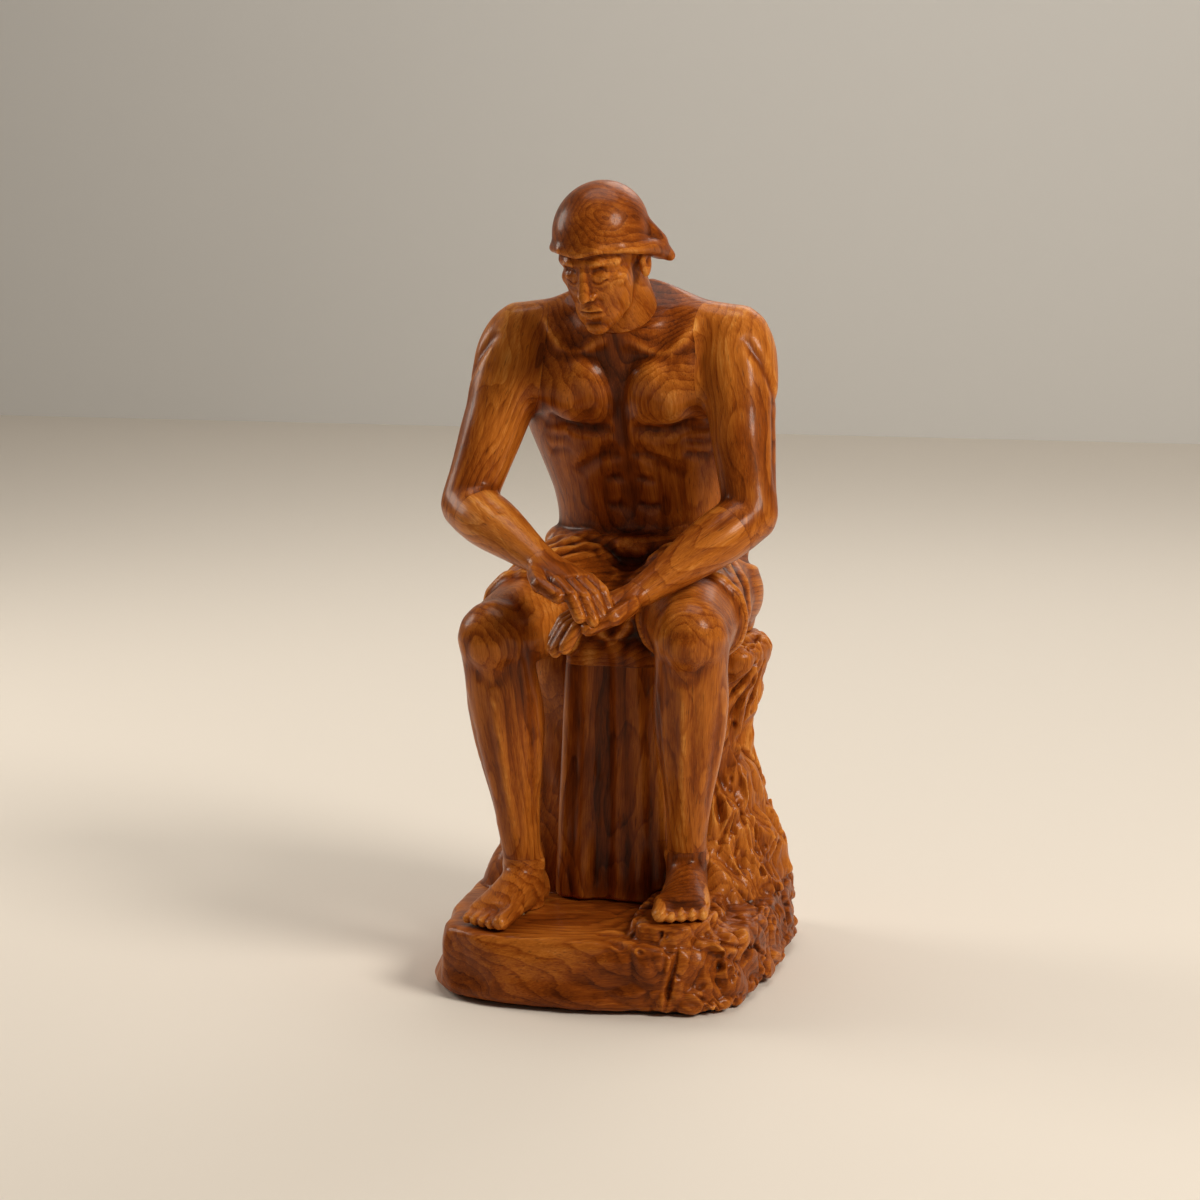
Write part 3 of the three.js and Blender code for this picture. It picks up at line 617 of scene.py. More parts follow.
def carve_cloth(skin):
    for limbs in both:
        for start, end, angle in ((0.1, 0.6, 55), (0.2, 0.66, 20), (0.05, 0.62, 95), (0.3, 0.68, -15)):
            path = [
                over_thigh(limbs, start, FOLD_START),
                over_thigh(limbs, mixed(start, end, 0.5), mixed(FOLD_START, angle, 0.6)),
                over_thigh(limbs, end, angle),
            ]
            skin.stroke(path, 2.4, 1.3)
            lower = [p + unit(limbs.knee - limbs.hip) * 4 * MM for p in path]
            skin.stroke(lower, 1.8, -1.1)
        hem = [over_thigh(limbs, THIGH_SEAM - 0.03, turn) for turn in range(-150, 211, 30)]
        skin.stroke(hem, 1.5, 0.8, 0)
    for depth in (-4, 2, 8, 14):
        path = [
            over_thigh(right, 0.5 - depth / 60, -60),
            vec(middle_x, waist[1] - 45 * MM + depth * MM, 100 * MM),
            over_thigh(left, 0.5 - depth / 60, -60),
        ]
        skin.stroke(path, 2.0, 1.2, 0.2)
    for z, width, height in ((123.5, 2.2, 1.3), (118.5, 1.6, -0.8), (115.5, 1.8, 0.6)):
        turns = np.radians(np.arange(0, 361, 20))
        belt = [
            vec(middle_x + 34 * MM * math.cos(t), waist[1] + 24 * MM * math.sin(t), z * MM)
            for t in turns
        ]
        skin.stroke(belt, width, height, 0)
    for number, turn in enumerate(range(-5, 190, BACK_FOLD_STEP)):
        t = math.radians(turn)
        sway = 0.2 * math.sin(2.1 * number)
        rise = 0.7 + 0.3 * math.sin(5.3 * number)
        top = waist + mm(33 * math.cos(t), 23 * math.sin(t), -12)
        low = waist + mm(40 * math.cos(t + sway), 28 * math.sin(t + sway), -26)
        fold = [top, mixed(top, low, 0.5) + mm(2, 0, 0), low]
        skin.stroke(fold, 2.2, rise if number % 2 else -rise, 0.4)
    skin.write()


def carve_legs(skin):
    for limbs in both:
        shin = unit(limbs.ankle - limbs.knee)
        ahead = unit(vec(0, -1, 0) + shin * shin[1])
        out = vec(limbs.side, 0, 0)
        cap = [
            limbs.knee + (ahead * 12 + out * 8 * math.cos(t) + shin * (2 - 8 * math.sin(t))) * MM
            for t in np.radians(np.arange(0, 361, 30))
        ]
        skin.stroke(cap, 1.8, -0.4, 0)
        for side in (-1, 1):
            beside = (ahead * 4 + out * side * 9) * MM
            line = [mixed(limbs.knee, limbs.ankle, t) + beside for t in (0.2, 0.5, 0.8)]
            skin.stroke(line, 2, -0.8)
        edge = [mixed(limbs.knee, limbs.ankle, t) + ahead * 12 * MM for t in (0.2, 0.5, 0.85)]
        skin.stroke(edge, 1.4, 0.6)
    skin.write()


def hip_lumps():
    """Hips and seat under the cloth, and the small of the back."""
    lumps = [lump(waist + mm(0, 5, -2), mm(27, 12.5, 9))]
    for side in SIDES.values():
        lumps.append(lump(waist + mm(side * 15, 4, -19), mm(19, 16, 14)))
        lumps.append(lump(waist + mm(side * 24, -8, -18), mm(14, 18, 13)))
    return lumps


FOREARM_BEGUN = 0.62  # share of the forearm in the body's clay
SEAM_BAND = 9 * MM  # smoothed on both sides of a seam


def body():
    """Trunk, upper arms, lap and legs. The forearms are only begun, to keep them off the lap."""
    names = ["torso", "draped_lap", "cloth_fall"]
    names += [f"{w}_{part}" for w in SIDES for part in ("upper_arm", "leg", "foot")]
    clays = [block_copy(name) for name in names] + [skull(), *neck_lumps(), *hip_lumps()]
    for limbs in both:
        lower = unit(limbs.wrist - limbs.elbow)
        for piece in [block_copy(f"{limbs.word}_forearm"), *arm_lumps(limbs)]:
            clays.append(trimmed(moulded(piece), mixed(limbs.elbow, limbs.wrist, FOREARM_BEGUN), lower))
        clays += trunk_lumps(limbs) + leg_lumps(limbs)
    obj = clay("body", clays, BODY_VOXEL)
    skin = Skin(obj)
    skin.smooth(BODY_ROUNDS)
    for limbs in both:
        for seam, rounds in ((shoulder_seam(limbs), SHOULDER_ROUNDS), (ankle_seam(limbs), ANKLE_ROUNDS)):
            at, _, radius = seam
            off = np.abs(past_seam(skin, seam)) / SEAM_BAND
            off += np.linalg.norm(skin.points - at, axis=1) / (1.8 * radius)
            skin.smooth(rounds, 0.5 * np.clip(1.3 - off, 0, 1))
    carve_trunk(skin)
    carve_cloth(skin)
    carve_legs(skin)
    skin.smooth(CARVED_ROUNDS)
    skin.note_hollows(24, HOLLOW_DEPTH)
    clay_skins["body"] = surface(obj)
    fall_low, fall_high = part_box("cloth_fall")
    fall_top = vec(middle_x, (fall_low.y + fall_high.y) / 2 - 2 * MM, fall_high.z - 9 * MM)
    seams = [
        neck_seam(), (waist, vec(0, 0, 1), BLADE["waist"]), (fall_top, vec(0, 0, 1), BLADE["cloth"]),
    ]
    for limbs in both:
        seams += [shoulder_seam(limbs), elbow_seam(limbs), ankle_seam(limbs)]
        seams.append(peg_seam(f"{limbs.word}_thigh_peg", limbs.knee, "thigh"))
    return picked(sawn(obj, seams), [name for name in names if not name.endswith("foot")])


def forearm(limbs):
    blocks = [block_copy(f"{limbs.word}_{part}") for part in ("upper_arm", "forearm", "hand")]
    obj = clay(f"{limbs.word}_arm_clay", blocks + arm_lumps(limbs), BODY_VOXEL)
    skin = Skin(obj)
    skin.smooth(BODY_ROUNDS)
    carve_arm(skin, limbs)
    skin.smooth(CARVED_ROUNDS)
    skin.flush(clay_skins["body"], past_seam(skin, elbow_seam(limbs)), 6 * MM)
    skin.note_hollows(24, HOLLOW_DEPTH)
    clay_skins[limbs.word] = surface(obj)
    return picked(sawn(obj, [elbow_seam(limbs), wrist_seam(limbs)]), [f"{limbs.word}_forearm"])


# Hands and feet

def fine_clay(limbs, part, others):
    """The clay of a hand or foot, with the limb that it is joined to."""
    block = block_copy(f"{limbs.word}_{part}", FINE_SWELL)
    return clay(f"{limbs.word}_{part}_clay", [others[0], block, *others[1:]], HAND_VOXEL)


def hand(limbs):
    obj = fine_clay(limbs, "hand", [block_copy(f"{limbs.word}_forearm")])
    skin = Skin(obj)
    seam = wrist_seam(limbs)
    skin.smooth(LIMB_END_ROUNDS, 0.5 * np.clip(1.3 - past_seam(skin, seam) / (6 * MM), 0, 1))
    skin.smooth(FINE_ROUNDS)
    past = past_seam(skin, seam)
    skin.flush(clay_skins[limbs.word], past, 5 * MM)
    skin.note_hollows(84, HOLLOW_DEPTH, 0.5 * np.clip(1 - past / (9 * MM), 0.3, 1))
    return picked(sawn(obj, [seam]), [f"{limbs.word}_hand"])


def foot(limbs):
    obj = fine_clay(limbs, "foot", [block_copy(f"{limbs.word}_leg"), *leg_lumps(limbs)])
    skin = Skin(obj)
    above = skin.points[:, 2] - limbs.ankle[2] - ANKLE_SEAM
    skin.smooth(LIMB_END_ROUNDS, 0.5 * np.clip(1.3 + above / (9 * MM), 0, 1))
    toe_way = vec(limbs.side * math.sin(TOE_OUT), -math.cos(TOE_OUT), 0)
    from_ball = np.abs((skin.points - limbs.ankle) @ toe_way - BALL_AHEAD) / (4 * MM)
    skin.smooth(BALL_ROUNDS, 0.5 * np.clip(1.2 - from_ball, 0, 1))
    skin.smooth(FINE_ROUNDS)
    above = skin.points[:, 2] - limbs.ankle[2] - ANKLE_SEAM
    skin.flush(clay_skins["body"], -above, 8 * MM)
    skin.note_hollows(84, HOLLOW_DEPTH, 0.5 * np.clip(1 + above / (9 * MM), 0.3, 1))
    return picked(sawn(obj, [ankle_seam(limbs)]), [f"{limbs.word}_foot"])


# Head

def by_head(x, y, z):
    """A point of the head in mm from its middle: to its left, back and up."""
    return head_middle + turned(mm(x, y, z), HEAD_BOW, HEAD_TURN)


def head_egg(x, y, z, radii, way=(0, 0, 1)):
    return lump(by_head(x, y, z), mm(*radii), head_way(*way))


def head_roll(points, first, last):
    places = [by_head(*point) for point in points]
    radii = np.linspace(first, last, len(points))
    return [roll(a, b, p, q) for a, b, p, q in zip(places, places[1:], radii, radii[1:])]


def neck_lumps():
    lumps = [roll(collar, neck, 12, 10.5), roll(neck, by_head(0, 4, -6), 10.5, 9)]
    notch = neck - neck_axis * 2 * MM + spine_ways(0.9)[2] * 8.5 * MM
    for side in SIDES.values():
        low = notch + mm(side * 3, 0, 0)
        lumps.append(roll(by_head(side * 7.2, 4.5, -4), low, 3, 2))
    return lumps


def hair():
    """A smooth cap of hair, swept back over the ears, with its ends turned out."""
    cap = moulded(head_egg(0, 2.6, 6.4, (13.7, 16.1, 13.7)))
    fringe = [(-11, -7, 6), (-6.5, -11.6, 8), (-1, -13.3, 7.6), (5, -12.4, 8.6), (11, -7, 6)]
    locks = [
        trimmed(cap, by_head(0, -13, 9.2), head_way(0, -0.5, -1)),
        head_egg(0, 8.6, -0.6, (12.2, 10.2, 9)),
        *head_roll(fringe, 1.5, 1.5),
    ]
    for side in SIDES.values():
        sweep = [(side * 11, -7, 6), (side * 13, -2, 3.4), (side * 13.6, 4, 0.4), (side * 13.4, 9, -3)]
        locks += head_roll(sweep, 1.5, 3)
        locks += head_roll([(side * 11, 7.5, 6), (side * 13, 10.4, -2)], 2.6, 3.2)
        locks += head_roll([sweep[-1], (side * 13.8, 11.6, -5.6), (side * 14.8, 12.8, -8)], 3, 1.9)
        locks += head_roll([(side * 12.6, 11, -5), (side * 8, 15.4, -7.2), (0, 17.2, -8)], 2.8, 2.3)
    obj = clay("hair", locks, HEAD_VOXEL)
    Skin(obj).smooth(HAIR_ROUNDS)
    return obj


def skull():
    return head_egg(0, 2.5, 5.6, (12.6, 15, 13.2))


def head_masses():
    """Skull, face and jaw, which are smoothed before the features are set on them."""
    masses = [
        skull(),
        head_egg(0, -4.6, -4, (9.7, 9.8, 15)),
        head_egg(0, -8.2, -12.6, (7.2, 6.6, 6.4)),
        head_egg(0, -11.2, -10, (5, 4.2, 4.6)),
        head_egg(0, -12, -16.2, (3.9, 3.2, 3)),
        *head_roll([(-7.8, -8, 3), (-4, -11.2, 4), (0, -11.6, 3.8), (4, -11.2, 4), (7.8, -8, 3)], 2, 2),
    ]
    for side in SIDES.values():
        masses += [
            head_egg(side * 7, -7.2, -2.8, (3.2, 3.6, 2.8)),
            head_egg(side * 5.4, -4.5, -11, (3, 4.4, 4.8)),
        ]
    return masses


def features():
    """Nose, eyes, lips, ears and hair."""
    lumps = [
        *head_roll([(0, -12.8, 2.6), (0, -16.4, -4.8)], 1.2, 1.7),
        *head_roll([(-3.2, -13.7, -9.8), (0, -14.9, -9.5), (3.2, -13.7, -9.8)], 0.8, 0.8),
        *head_roll([(-2.6, -13.5, -11.9), (0, -14.5, -12), (2.6, -13.5, -11.9)], 1, 1),
        hair(),
    ]
    for side in SIDES.values():
        lumps += [
            head_egg(side * 1.8, -14.1, -5.5, (1.4, 1.8, 1.3)),
            head_egg(side * 4.4, -10.7, -0.4, (2.7, 2.3, 2.1)),
            head_egg(side * 12, 2, -3.4, (1.6, 2.8, 4.6), (0, 0.25, 1)),
        ]
    return lumps


# Strokes on each half of the face: points to the left, back and up, width, height, fade and sharp
FACE_STROKES = (
    ([(2.2, -13, 1.6), (4.6, -13.4, 2.1), (7.2, -11.6, 1.6)], 1, -0.8),  # socket
    ([(1.9, -13, -1), (4.5, -14, -1.9), (7, -11.8, -1.1)], 0.5, -0.6, 0.15, True),  # closed lids
    ([(2.2, -13.4, -2.8), (4.8, -13.6, -3.7), (7, -12, -3.2)], 0.9, -0.4),  # under the eye
    ([(2.9, -15.4, -5), (4.4, -14.6, -8), (5, -13.6, -11)], 0.8, -0.4),  # cheek
    ([(1.1, -17, -6.8)], 0.6, -0.8),  # nostril
    ([(2, -15.6, 4.4), (5, -15, 5.3), (8.2, -12.6, 4.4)], 0.8, 0.4),  # eyebrow
    ([(14, 1.6, -3.2)], 1.2, -1.1),  # ear
)
# Strokes across its middle
MOUTH_STROKES = (
    ([(-3.8, -14, -10.7), (0, -16, -10.6), (3.8, -14, -10.7)], 0.5, -0.8, 0.15, True),  # between the lips
    ([(-2.6, -14, -13.9), (0, -15, -14.1), (2.6, -14, -13.9)], 1, -0.6),  # under the lips
    ([(0, -16.4, -7), (0, -16.4, -9)], 0.6, -0.4),  # under the nose
)


def carve_face(skin):
    for side in SIDES.values():
        for path, *values in FACE_STROKES:
            skin.stroke([by_head(side * x, y, z) for x, y, z in path], *values)
    for path, *values in MOUTH_STROKES:
        skin.stroke([by_head(*place) for place in path], *values)
    skin.write()


def head():
    obj = clay("head_masses", head_masses() + neck_lumps(), HEAD_VOXEL)
    skin = Skin(obj)
    above = past_seam(skin, neck_seam())
    skin.smooth(NECK_ROUNDS, 0.5 * np.clip(1.4 - above / (8 * MM), 0.28, 1))
    obj = clay("head_clay", [obj, *features()], HEAD_VOXEL)
    skin = Skin(obj)
    skin.smooth(FEATURE_ROUNDS)
    carve_face(skin)
    skin.smooth(FACE_ROUNDS)
    above = past_seam(skin, neck_seam())
    skin.note_hollows(110, HOLLOW_DEPTH, 0.5 * np.clip(1.1 - above / (12 * MM), 0.3, 1))
    return picked(sawn(obj, [neck_seam()]), ["head"])


# Rock

def rough_lumps():
    """Clay about the foot of the seat, which makes it a mound."""
    return [
        lump(mm(19, 26, 6), mm(26, 28, 52)),
        lump(mm(-18, 26, 6), mm(25, 27, 42)),
        lump(mm(1, 26, 6), mm(41, 28, 46)),
        lump(mm(30, 3, 8), mm(14, 14, 26)),
        lump(mm(-31, 5, 6), mm(14, 16, 31)),
    ]


def clear_of(points, names, start, full):
    """0 on the skin of the named blocks, and 1 away from them."""
    gap = np.full(len(points), full)
    for name in names:
        tree = surface(nodes[name])
        block = node_points(name)
        low, high = block.min(0) - full, block.max(0) + full
        for index in np.flatnonzero(((points > low) & (points < high)).all(1)):
            found = tree.find_nearest(Vector(points[index]), full)
            if found[0]:
                gap[index] = min(gap[index], found[3])
    return eased((gap - start) / (full - start))


def eased(t):
    t = np.clip(t, 0, 1)
    return t * t * (3 - 2 * t)


def field(points, size, seed):
    """Smooth noise from -1 to 1 at each point, with lumps of about a size."""
    shift = Vector((17.3 * seed, -9.1 * seed, 4.7 * seed))
    return np.array([noise.noise(Vector(p) / size + shift) for p in points])


def cells(points, size, seed):
    """Domes with cracks between them: 0 in a crack and 1 on a dome."""
    shift = Vector((7.7 * seed, 3.3 * seed, -5.9 * seed))
    near = np.array([noise.voronoi(Vector(p) / size + shift)[0][:2] for p in points])
    return np.clip((near[:, 1] - near[:, 0]) * 2.2, 0, 1)


NOT_ZERO = 1e-9  # keeps a cut's way from vanishing


def gouge(skin, index, way, length, width, depth):
    """One scoop of a gouge, with a crisp rim."""
    at, facing = skin.points[index], skin.normals[index]
    along = unit(way - facing * (way @ facing) + NOT_ZERO)
    across = np.cross(facing, along)
    close = np.flatnonzero((np.abs(skin.points - at) < length).all(1))
    offset = skin.points[close] - at
    u, v, w = offset @ along / length, offset @ across / width, offset @ facing / length
    scoop = np.clip(1 - u * u - v * v - w * w, 0, 1)
    return close, facing * -depth, scoop


ROCK_SEED = 7
# Sets of gouge cuts: how many, and their length, width and depth in mm
GOUGES = ((150, 8, 3.0, 1.4), (200, 9, 0.9, 1.3), (240, 4.5, 1.6, 1.2), (700, 1.5, 1.0, 0.8))
SEAT_SPREAD = 0.3  # how far the cuts turn from upright on the seat
PLINTH_SPREAD = 1.6
CRAG_SIZE = 9 * MM
CRAG_BEND = 2.5 * MM
CRAG_RISE = 1.5  # mm
STRETCH_FROM = 25 * MM  # height above which the crags are drawn out upwards
STRETCH = 0.45


def roughness(x, y):
    """How rough the rock is left: most on its left side and behind."""
    left_side = 0.25 + 0.75 * eased((x + 0.05 * y + 6 * MM) / (30 * MM))
    return np.maximum(left_side, 0.9 * eased((y - 30 * MM) / (20 * MM)))


def rock():
    """Plinth and seat as one mound, gouged where it is rough, and sawn apart under the seat."""
    rng = np.random.default_rng(ROCK_SEED)
    copies = [block_copy("plinth", PLINTH_SWELL), block_copy("seat_rock")]
    floor_flat = vec(0, 0, node_points("plinth")[:, 2].min())
    lumps = [trimmed(moulded(piece), floor_flat, vec(0, 0, -1)) for piece in rough_lumps()]
    obj = clay("rock", copies + lumps, ROCK_VOXEL)
    skin = Skin(obj)
    skin.smooth(ROCK_ROUNDS)
    neighbours = ["base_felt", "draped_lap", "cloth_fall", "right_foot", "left_foot"]
    guard = clear_of(skin.points, neighbours, 0.7 * MM, 4 * MM)
    x, y, z = skin.points.T
    rough = roughness(x, y)
    drawn_out = np.minimum(z, STRETCH_FROM) + STRETCH * np.maximum(z - STRETCH_FROM, 0)
    upright = np.stack([x, y, drawn_out], 1)
    swell = 0.7 * field(skin.points, 14 * MM, 1) + 0.5 * field(upright, 5 * MM, 2)
    bent = upright + CRAG_BEND * np.stack([field(upright, 7 * MM, seed) for seed in (4, 5, 6)], 1)
    crags = CRAG_RISE * (cells(bent, CRAG_SIZE, 3) - 0.7)
    skin.points += skin.normals * ((swell + crags * rough) * rough * guard * MM)[:, None]
    skin.write()
    seat_foot, seat_front = node_points("seat_rock")[:, 2].min(), node_points("seat_rock")[:, 1].min()
    for count, *measures in GOUGES:
        move = np.zeros_like(skin.points)
        for index in rng.integers(0, len(skin.points), count):
            size = rng.uniform(0.7, 1.4)
            if rng.random() > max(0, 1.6 * rough[index] - 0.6) ** 2:
                continue
            spread = PLINTH_SPREAD if skin.points[index, 2] < seat_foot else SEAT_SPREAD
            way = vec(rng.normal(0, spread), rng.normal(0, spread), 1)
            close, push, scoop = gouge(skin, index, way, *(measure * size * MM for measure in measures))
            move[close] += push * scoop[:, None]
        skin.points += move * guard[:, None]
        skin.write()
    skin.smooth(1, 0.4)
    skin.note_hollows(14, ROCK_HOLLOW_DEPTH)
    bottom, front = seat_foot - 0.1 * MM, seat_front - 1 * MM
    seat = region(obj, "seat_clay", front, bottom, "INTERSECT")
    plinth = region(obj, "plinth_clay", front - KERF, bottom - KERF, "DIFFERENCE")
    bpy.data.objects.remove(obj)
    for piece in (seat, plinth):
        faces = len(piece.data.polygons) * 2
        apply_modifier(piece, "DECIMATE", ratio=min(1, MOST_FACES / faces))
    return {"seat_rock": seat, "plinth": plinth}


def region(obj, name, front, bottom, operation):
    """What lies in, or outside, the box above a flat and behind another."""
    copy = added(name, obj.data.copy())
    wide, reach = 0.4, 0.2
    bpy.ops.mesh.primitive_cube_add(
        size=1, location=(0, front + reach / 2, bottom + reach / 2), scale=(wide, reach, reach),
    )
    cut(copy, bpy.context.object, operation)
    return copy


# Wood

def new_material(name):
    material = bpy.data.materials.new(name)
    material.use_nodes = True
    return material, Wiring(material.node_tree)


class Wiring:
    """Adds nodes to a material, each fed by values or by other nodes' outputs."""

    def __init__(self, tree):
        self.tree = tree
        self.shader = tree.nodes["Principled BSDF"]

    def look(self, **values):
        """Sets inputs of the shader, their names written with underscores."""
        for name, value in values.items():
            self.put(self.shader.inputs[name.replace("_", " ")], value)

    def place(self):
        """The object's own coordinates."""
        return self.node("TexCoord", {}, output=3)

    def put(self, socket, value):
        if isinstance(value, bpy.types.NodeSocket):
            self.tree.links.new(value, socket)
        else:
            socket.default_value = value

    def node(self, kind, inputs, output=0, **settings):
        node = self.tree.nodes.new("ShaderNode" + kind)
        for key, value in settings.items():
            setattr(node, key, value)
        for key, value in inputs.items():
            self.put(node.inputs[key], value)
        return node.outputs[output]

    def math(self, operation, a, b=0.0, clamp=False):
        return self.node("Math", {0: a, 1: b}, operation=operation, use_clamp=clamp)

    def stretched(self, vector, scale):
        return self.node("VectorMath", {0: vector, 1: scale}, operation="MULTIPLY")

    def noise(self, vector, scale, detail=3.0, roughness=0.5, distortion=0.0):
        return self.node("TexNoise", {
            "Vector": vector, "Scale": scale, "Detail": detail,
            "Roughness": roughness, "Distortion": distortion,
        })

    def ramp(self, value, stops):
        node = self.tree.nodes.new("ShaderNodeValToRGB")
        elements = node.color_ramp.elements
        while len(elements) < len(stops):
            elements.new(1)
        for element, (place, colour) in zip(elements, stops):
            element.position = place
            element.color = (*colour, 1) if isinstance(colour, tuple) else (colour, colour, colour, 1)
        self.put(node.inputs[0], value)
        return node.outputs[0]

    def mixed(self, share, a, b):
        node = self.tree.nodes.new("ShaderNodeMix")
        node.data_type = "RGBA"
        self.put(node.inputs[0], share)
        self.put(node.inputs[6], a)
        self.put(node.inputs[7], b)
        return node.outputs[2]


RING = 2.0  # mm from one year ring to the next
BEND = 22  # mm by which the rings wander
TO_MM = (1000, 1000, 1000)
MIDDLE_TINT = 0.56
LATE_TINT = -0.15  # late wood of a ring
STREAK_TINT, FIBRE_TINT, CLOUD_TINT = 0.45, 0.4, 0.9
# grooves darker and ridges lighter: partly stain pooled in the grooves, partly painted shade in grooves
# and painted light on ridges
HOLLOW_STAIN_AND_SHADE = 0.28
PORE_SHARE = 0.5
PORE_COLOUR = (0.035, 0.009, 0.003, 1)
WOOD_COLOURS = [
    (0.05, (0.014, 0.0023, 0.0005)), (0.3, (0.085, 0.0152, 0.0017)), (0.52, (0.24, 0.051, 0.0044)),
    (0.75, (0.48, 0.142, 0.016)), (0.98, (0.74, 0.32, 0.066)),
]
WAX = {
    "Specular_IOR_Level": 0.12, "Specular_Tint": (1, 0.72, 0.42, 1),
    "Coat_Weight": 0.14, "Coat_Roughness": 0.15, "Coat_Tint": (1, 0.9, 0.78, 1),
}


def waxed_wood(name, grain, pith, tone_and_shading, rough):
    """Oiled and waxed hardwood with its grain along an axis and its rings about a point."""
    material, w = new_material(name)
    turn = Vector(grain).rotation_difference(Vector((0, 0, 1)))
    shift = -(turn @ (Vector(pith) * 1000))
    place = w.node("Mapping", {
        "Vector": w.place(), "Location": shift, "Rotation": turn.to_euler(), "Scale": TO_MM,
    })
    slow = w.stretched(place, (1, 1, 0.45))
    bend = w.node("TexNoise", {"Vector": slow, "Scale": 0.035, "Detail": 2.0}, output=1)
    bend = w.node("VectorMath", {0: bend, 1: (0.5, 0.5, 0.5)}, operation="SUBTRACT")
    bend = w.stretched(bend, (BEND, BEND, 0))
    warped = w.node("VectorMath", {0: place, 1: bend}, operation="ADD")
    radius = w.node("VectorMath", {0: w.stretched(warped, (1, 1, 0.04))}, output=1, operation="LENGTH")
    ripple = w.math("MULTIPLY", w.noise(w.stretched(place, (1, 1, 0.1)), 0.5, 2.0), 1.1)
    rings = w.math("FRACT", w.math("DIVIDE", w.math("ADD", radius, ripple), RING))
    late = w.ramp(rings, [(0.0, 0.0), (0.45, 0.16), (0.8, 0.62), (0.92, 1.0), (1.0, 0.0)])
    streaks = w.noise(w.stretched(warped, (1, 1, 0.03)), 0.55, 4.0, 0.6)
    fibres = w.noise(w.stretched(place, (1, 1, 0.035)), 3.2, 3.0, 0.65)
    clouds = w.noise(w.stretched(place, (1, 1, 0.5)), 0.028, 3.0, 0.55)
    tint = w.math("MULTIPLY", late, LATE_TINT)
    for part, weight in ((streaks, STREAK_TINT), (fibres, FIBRE_TINT), (clouds, CLOUD_TINT)):
        tint = w.math("ADD", tint, w.math("MULTIPLY", w.math("SUBTRACT", part, 0.5), weight))
    hollow = w.node("Attribute", {}, output=2, attribute_name="hollow")
    # painted shade in grooves and painted light on ridges, partly the stain that pools in grooves
    tint = w.math("SUBTRACT", tint, w.math("MULTIPLY", hollow, HOLLOW_STAIN_AND_SHADE))
    # the block's tone, which for some blocks holds painted shade and painted light
    tint = w.math("ADD", tint, MIDDLE_TINT + tone_and_shading, clamp=True)
    colour = w.ramp(tint, WOOD_COLOURS)
    pores = w.noise(w.stretched(place, (1, 1, 0.06)), 2.6, 2.0, 0.5)
    pores = w.ramp(pores, [(0.62, 0.0), (0.7, 1.0)])
    colour = w.mixed(w.math("MULTIPLY", pores, PORE_SHARE), colour, PORE_COLOUR)
    gloss = w.math("ADD", w.math("MULTIPLY", fibres, 0.22), rough - 0.1)
    gloss = w.math("ADD", gloss, w.math("MULTIPLY", w.math("MAXIMUM", hollow, 0.0), 0.2))
    height = w.math("ADD", w.math("MULTIPLY", late, -0.4), w.math("MULTIPLY", fibres, 0.7))
    height = w.math("SUBTRACT", height, w.math("MULTIPLY", pores, 0.5))
    bump = w.node("Bump", {"Strength": 0.5, "Distance": 0.12 * MM, "Height": height})
    w.look(Base_Color=colour, Roughness=gloss, Normal=bump, **WAX)
    return material


# The pieces

def grain_of(limbs):
    """The way of the grain in each block of one side, and a point of its pith."""
    upper, lower, out, _ = arm_ways(limbs)
    word, shin = limbs.word, unit(limbs.ankle - limbs.knee)
    return {
        f"{word}_upper_arm": (upper, limbs.elbow - out * 9 * MM),
        f"{word}_forearm": (lower, limbs.wrist + mm(0, 6, -9)),
        f"{word}_hand": (lower + vec(0, -0.3, -0.1), limbs.wrist + mm(0, 3, -8)),
        f"{word}_leg": (shin, limbs.knee + mm(-limbs.side * 3, 5, 0)),
        f"{word}_foot": (vec(0, 1, 0.2), limbs.ankle + mm(limbs.side * 12, 0, -16)),
    }


POLISHED_ROUGH, HEWN_ROUGH = 0.33, 0.4
USUAL_TONE = 0.03  # a block's lightness
# lightness of some blocks: the seat rock's is its own tone; the torso and the cloth fall are darker as
# painted shade, and the left foot is lighter as painted light
TONES_AND_PAINTED_SHADING = {"seat_rock": 0.06, "torso": -0.01, "cloth_fall": -0.05, "left_foot": 0.1}
CREASE = math.radians(40)  # edges sharper than this are not shaded round


def dress(pieces):
    """Gives each block the wood it is cut from, with the grain along the block."""
    grains = {
        "torso": (neck - waist, waist + mm(7, 26, 0)),
        "head": (head_way(0.1, -0.45, 1), by_head(4, 3, 0)),
        "draped_lap": (vec(0.06, 1, -0.1), mm(12, 0, 52)),
        "cloth_fall": (vec(0.05, 0, 1), mm(6, 14, 50)),
        "seat_rock": (vec(0.08, 0.05, 1), mm(14, 70, 0)),
        "plinth": (vec(1, 0.25, 0.06), mm(0, -20, -12)),
        **grain_of(right), **grain_of(left),
    }
    for turn, (name, piece) in enumerate(pieces.items()):
        hewn = name in ("seat_rock", "plinth")
        grain, pith = grains[name]
        # the block's own tone, with painted shade and painted light for some blocks
        tone_and_shading = TONES_AND_PAINTED_SHADING.get(name, USUAL_TONE) + 0.018 * math.sin(2.4 * turn)
        wood = waxed_wood(name + "_wood", unit(grain), pith, tone_and_shading, HEWN_ROUGH if hewn else POLISHED_ROUGH)
        piece.name = "carved_" + name
        piece.data.name = piece.name
        piece.data.materials.clear()
        piece.data.materials.append(wood)
        alone(piece)
        bpy.ops.object.shade_smooth_by_angle(angle=CREASE)
        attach(piece, "root")
        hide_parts(name)


def fibrous(name, noise_values, colours, gloss, relief):
    """A dull stuff of short fibres. Gloss is a range and a start, relief a strength and a height."""
    material, w = new_material(name)
    fibres = w.noise(w.stretched(w.place(), TO_MM), *noise_values)
    w.look(
        Base_Color=w.ramp(fibres, list(zip((0.3, 0.7), colours))),
        Roughness=w.math("ADD", w.math("MULTIPLY", fibres, gloss[0]), gloss[1]),
        Normal=w.node("Bump", {"Strength": relief[0], "Distance": relief[1] * MM, "Height": fibres}),
    )
    return material


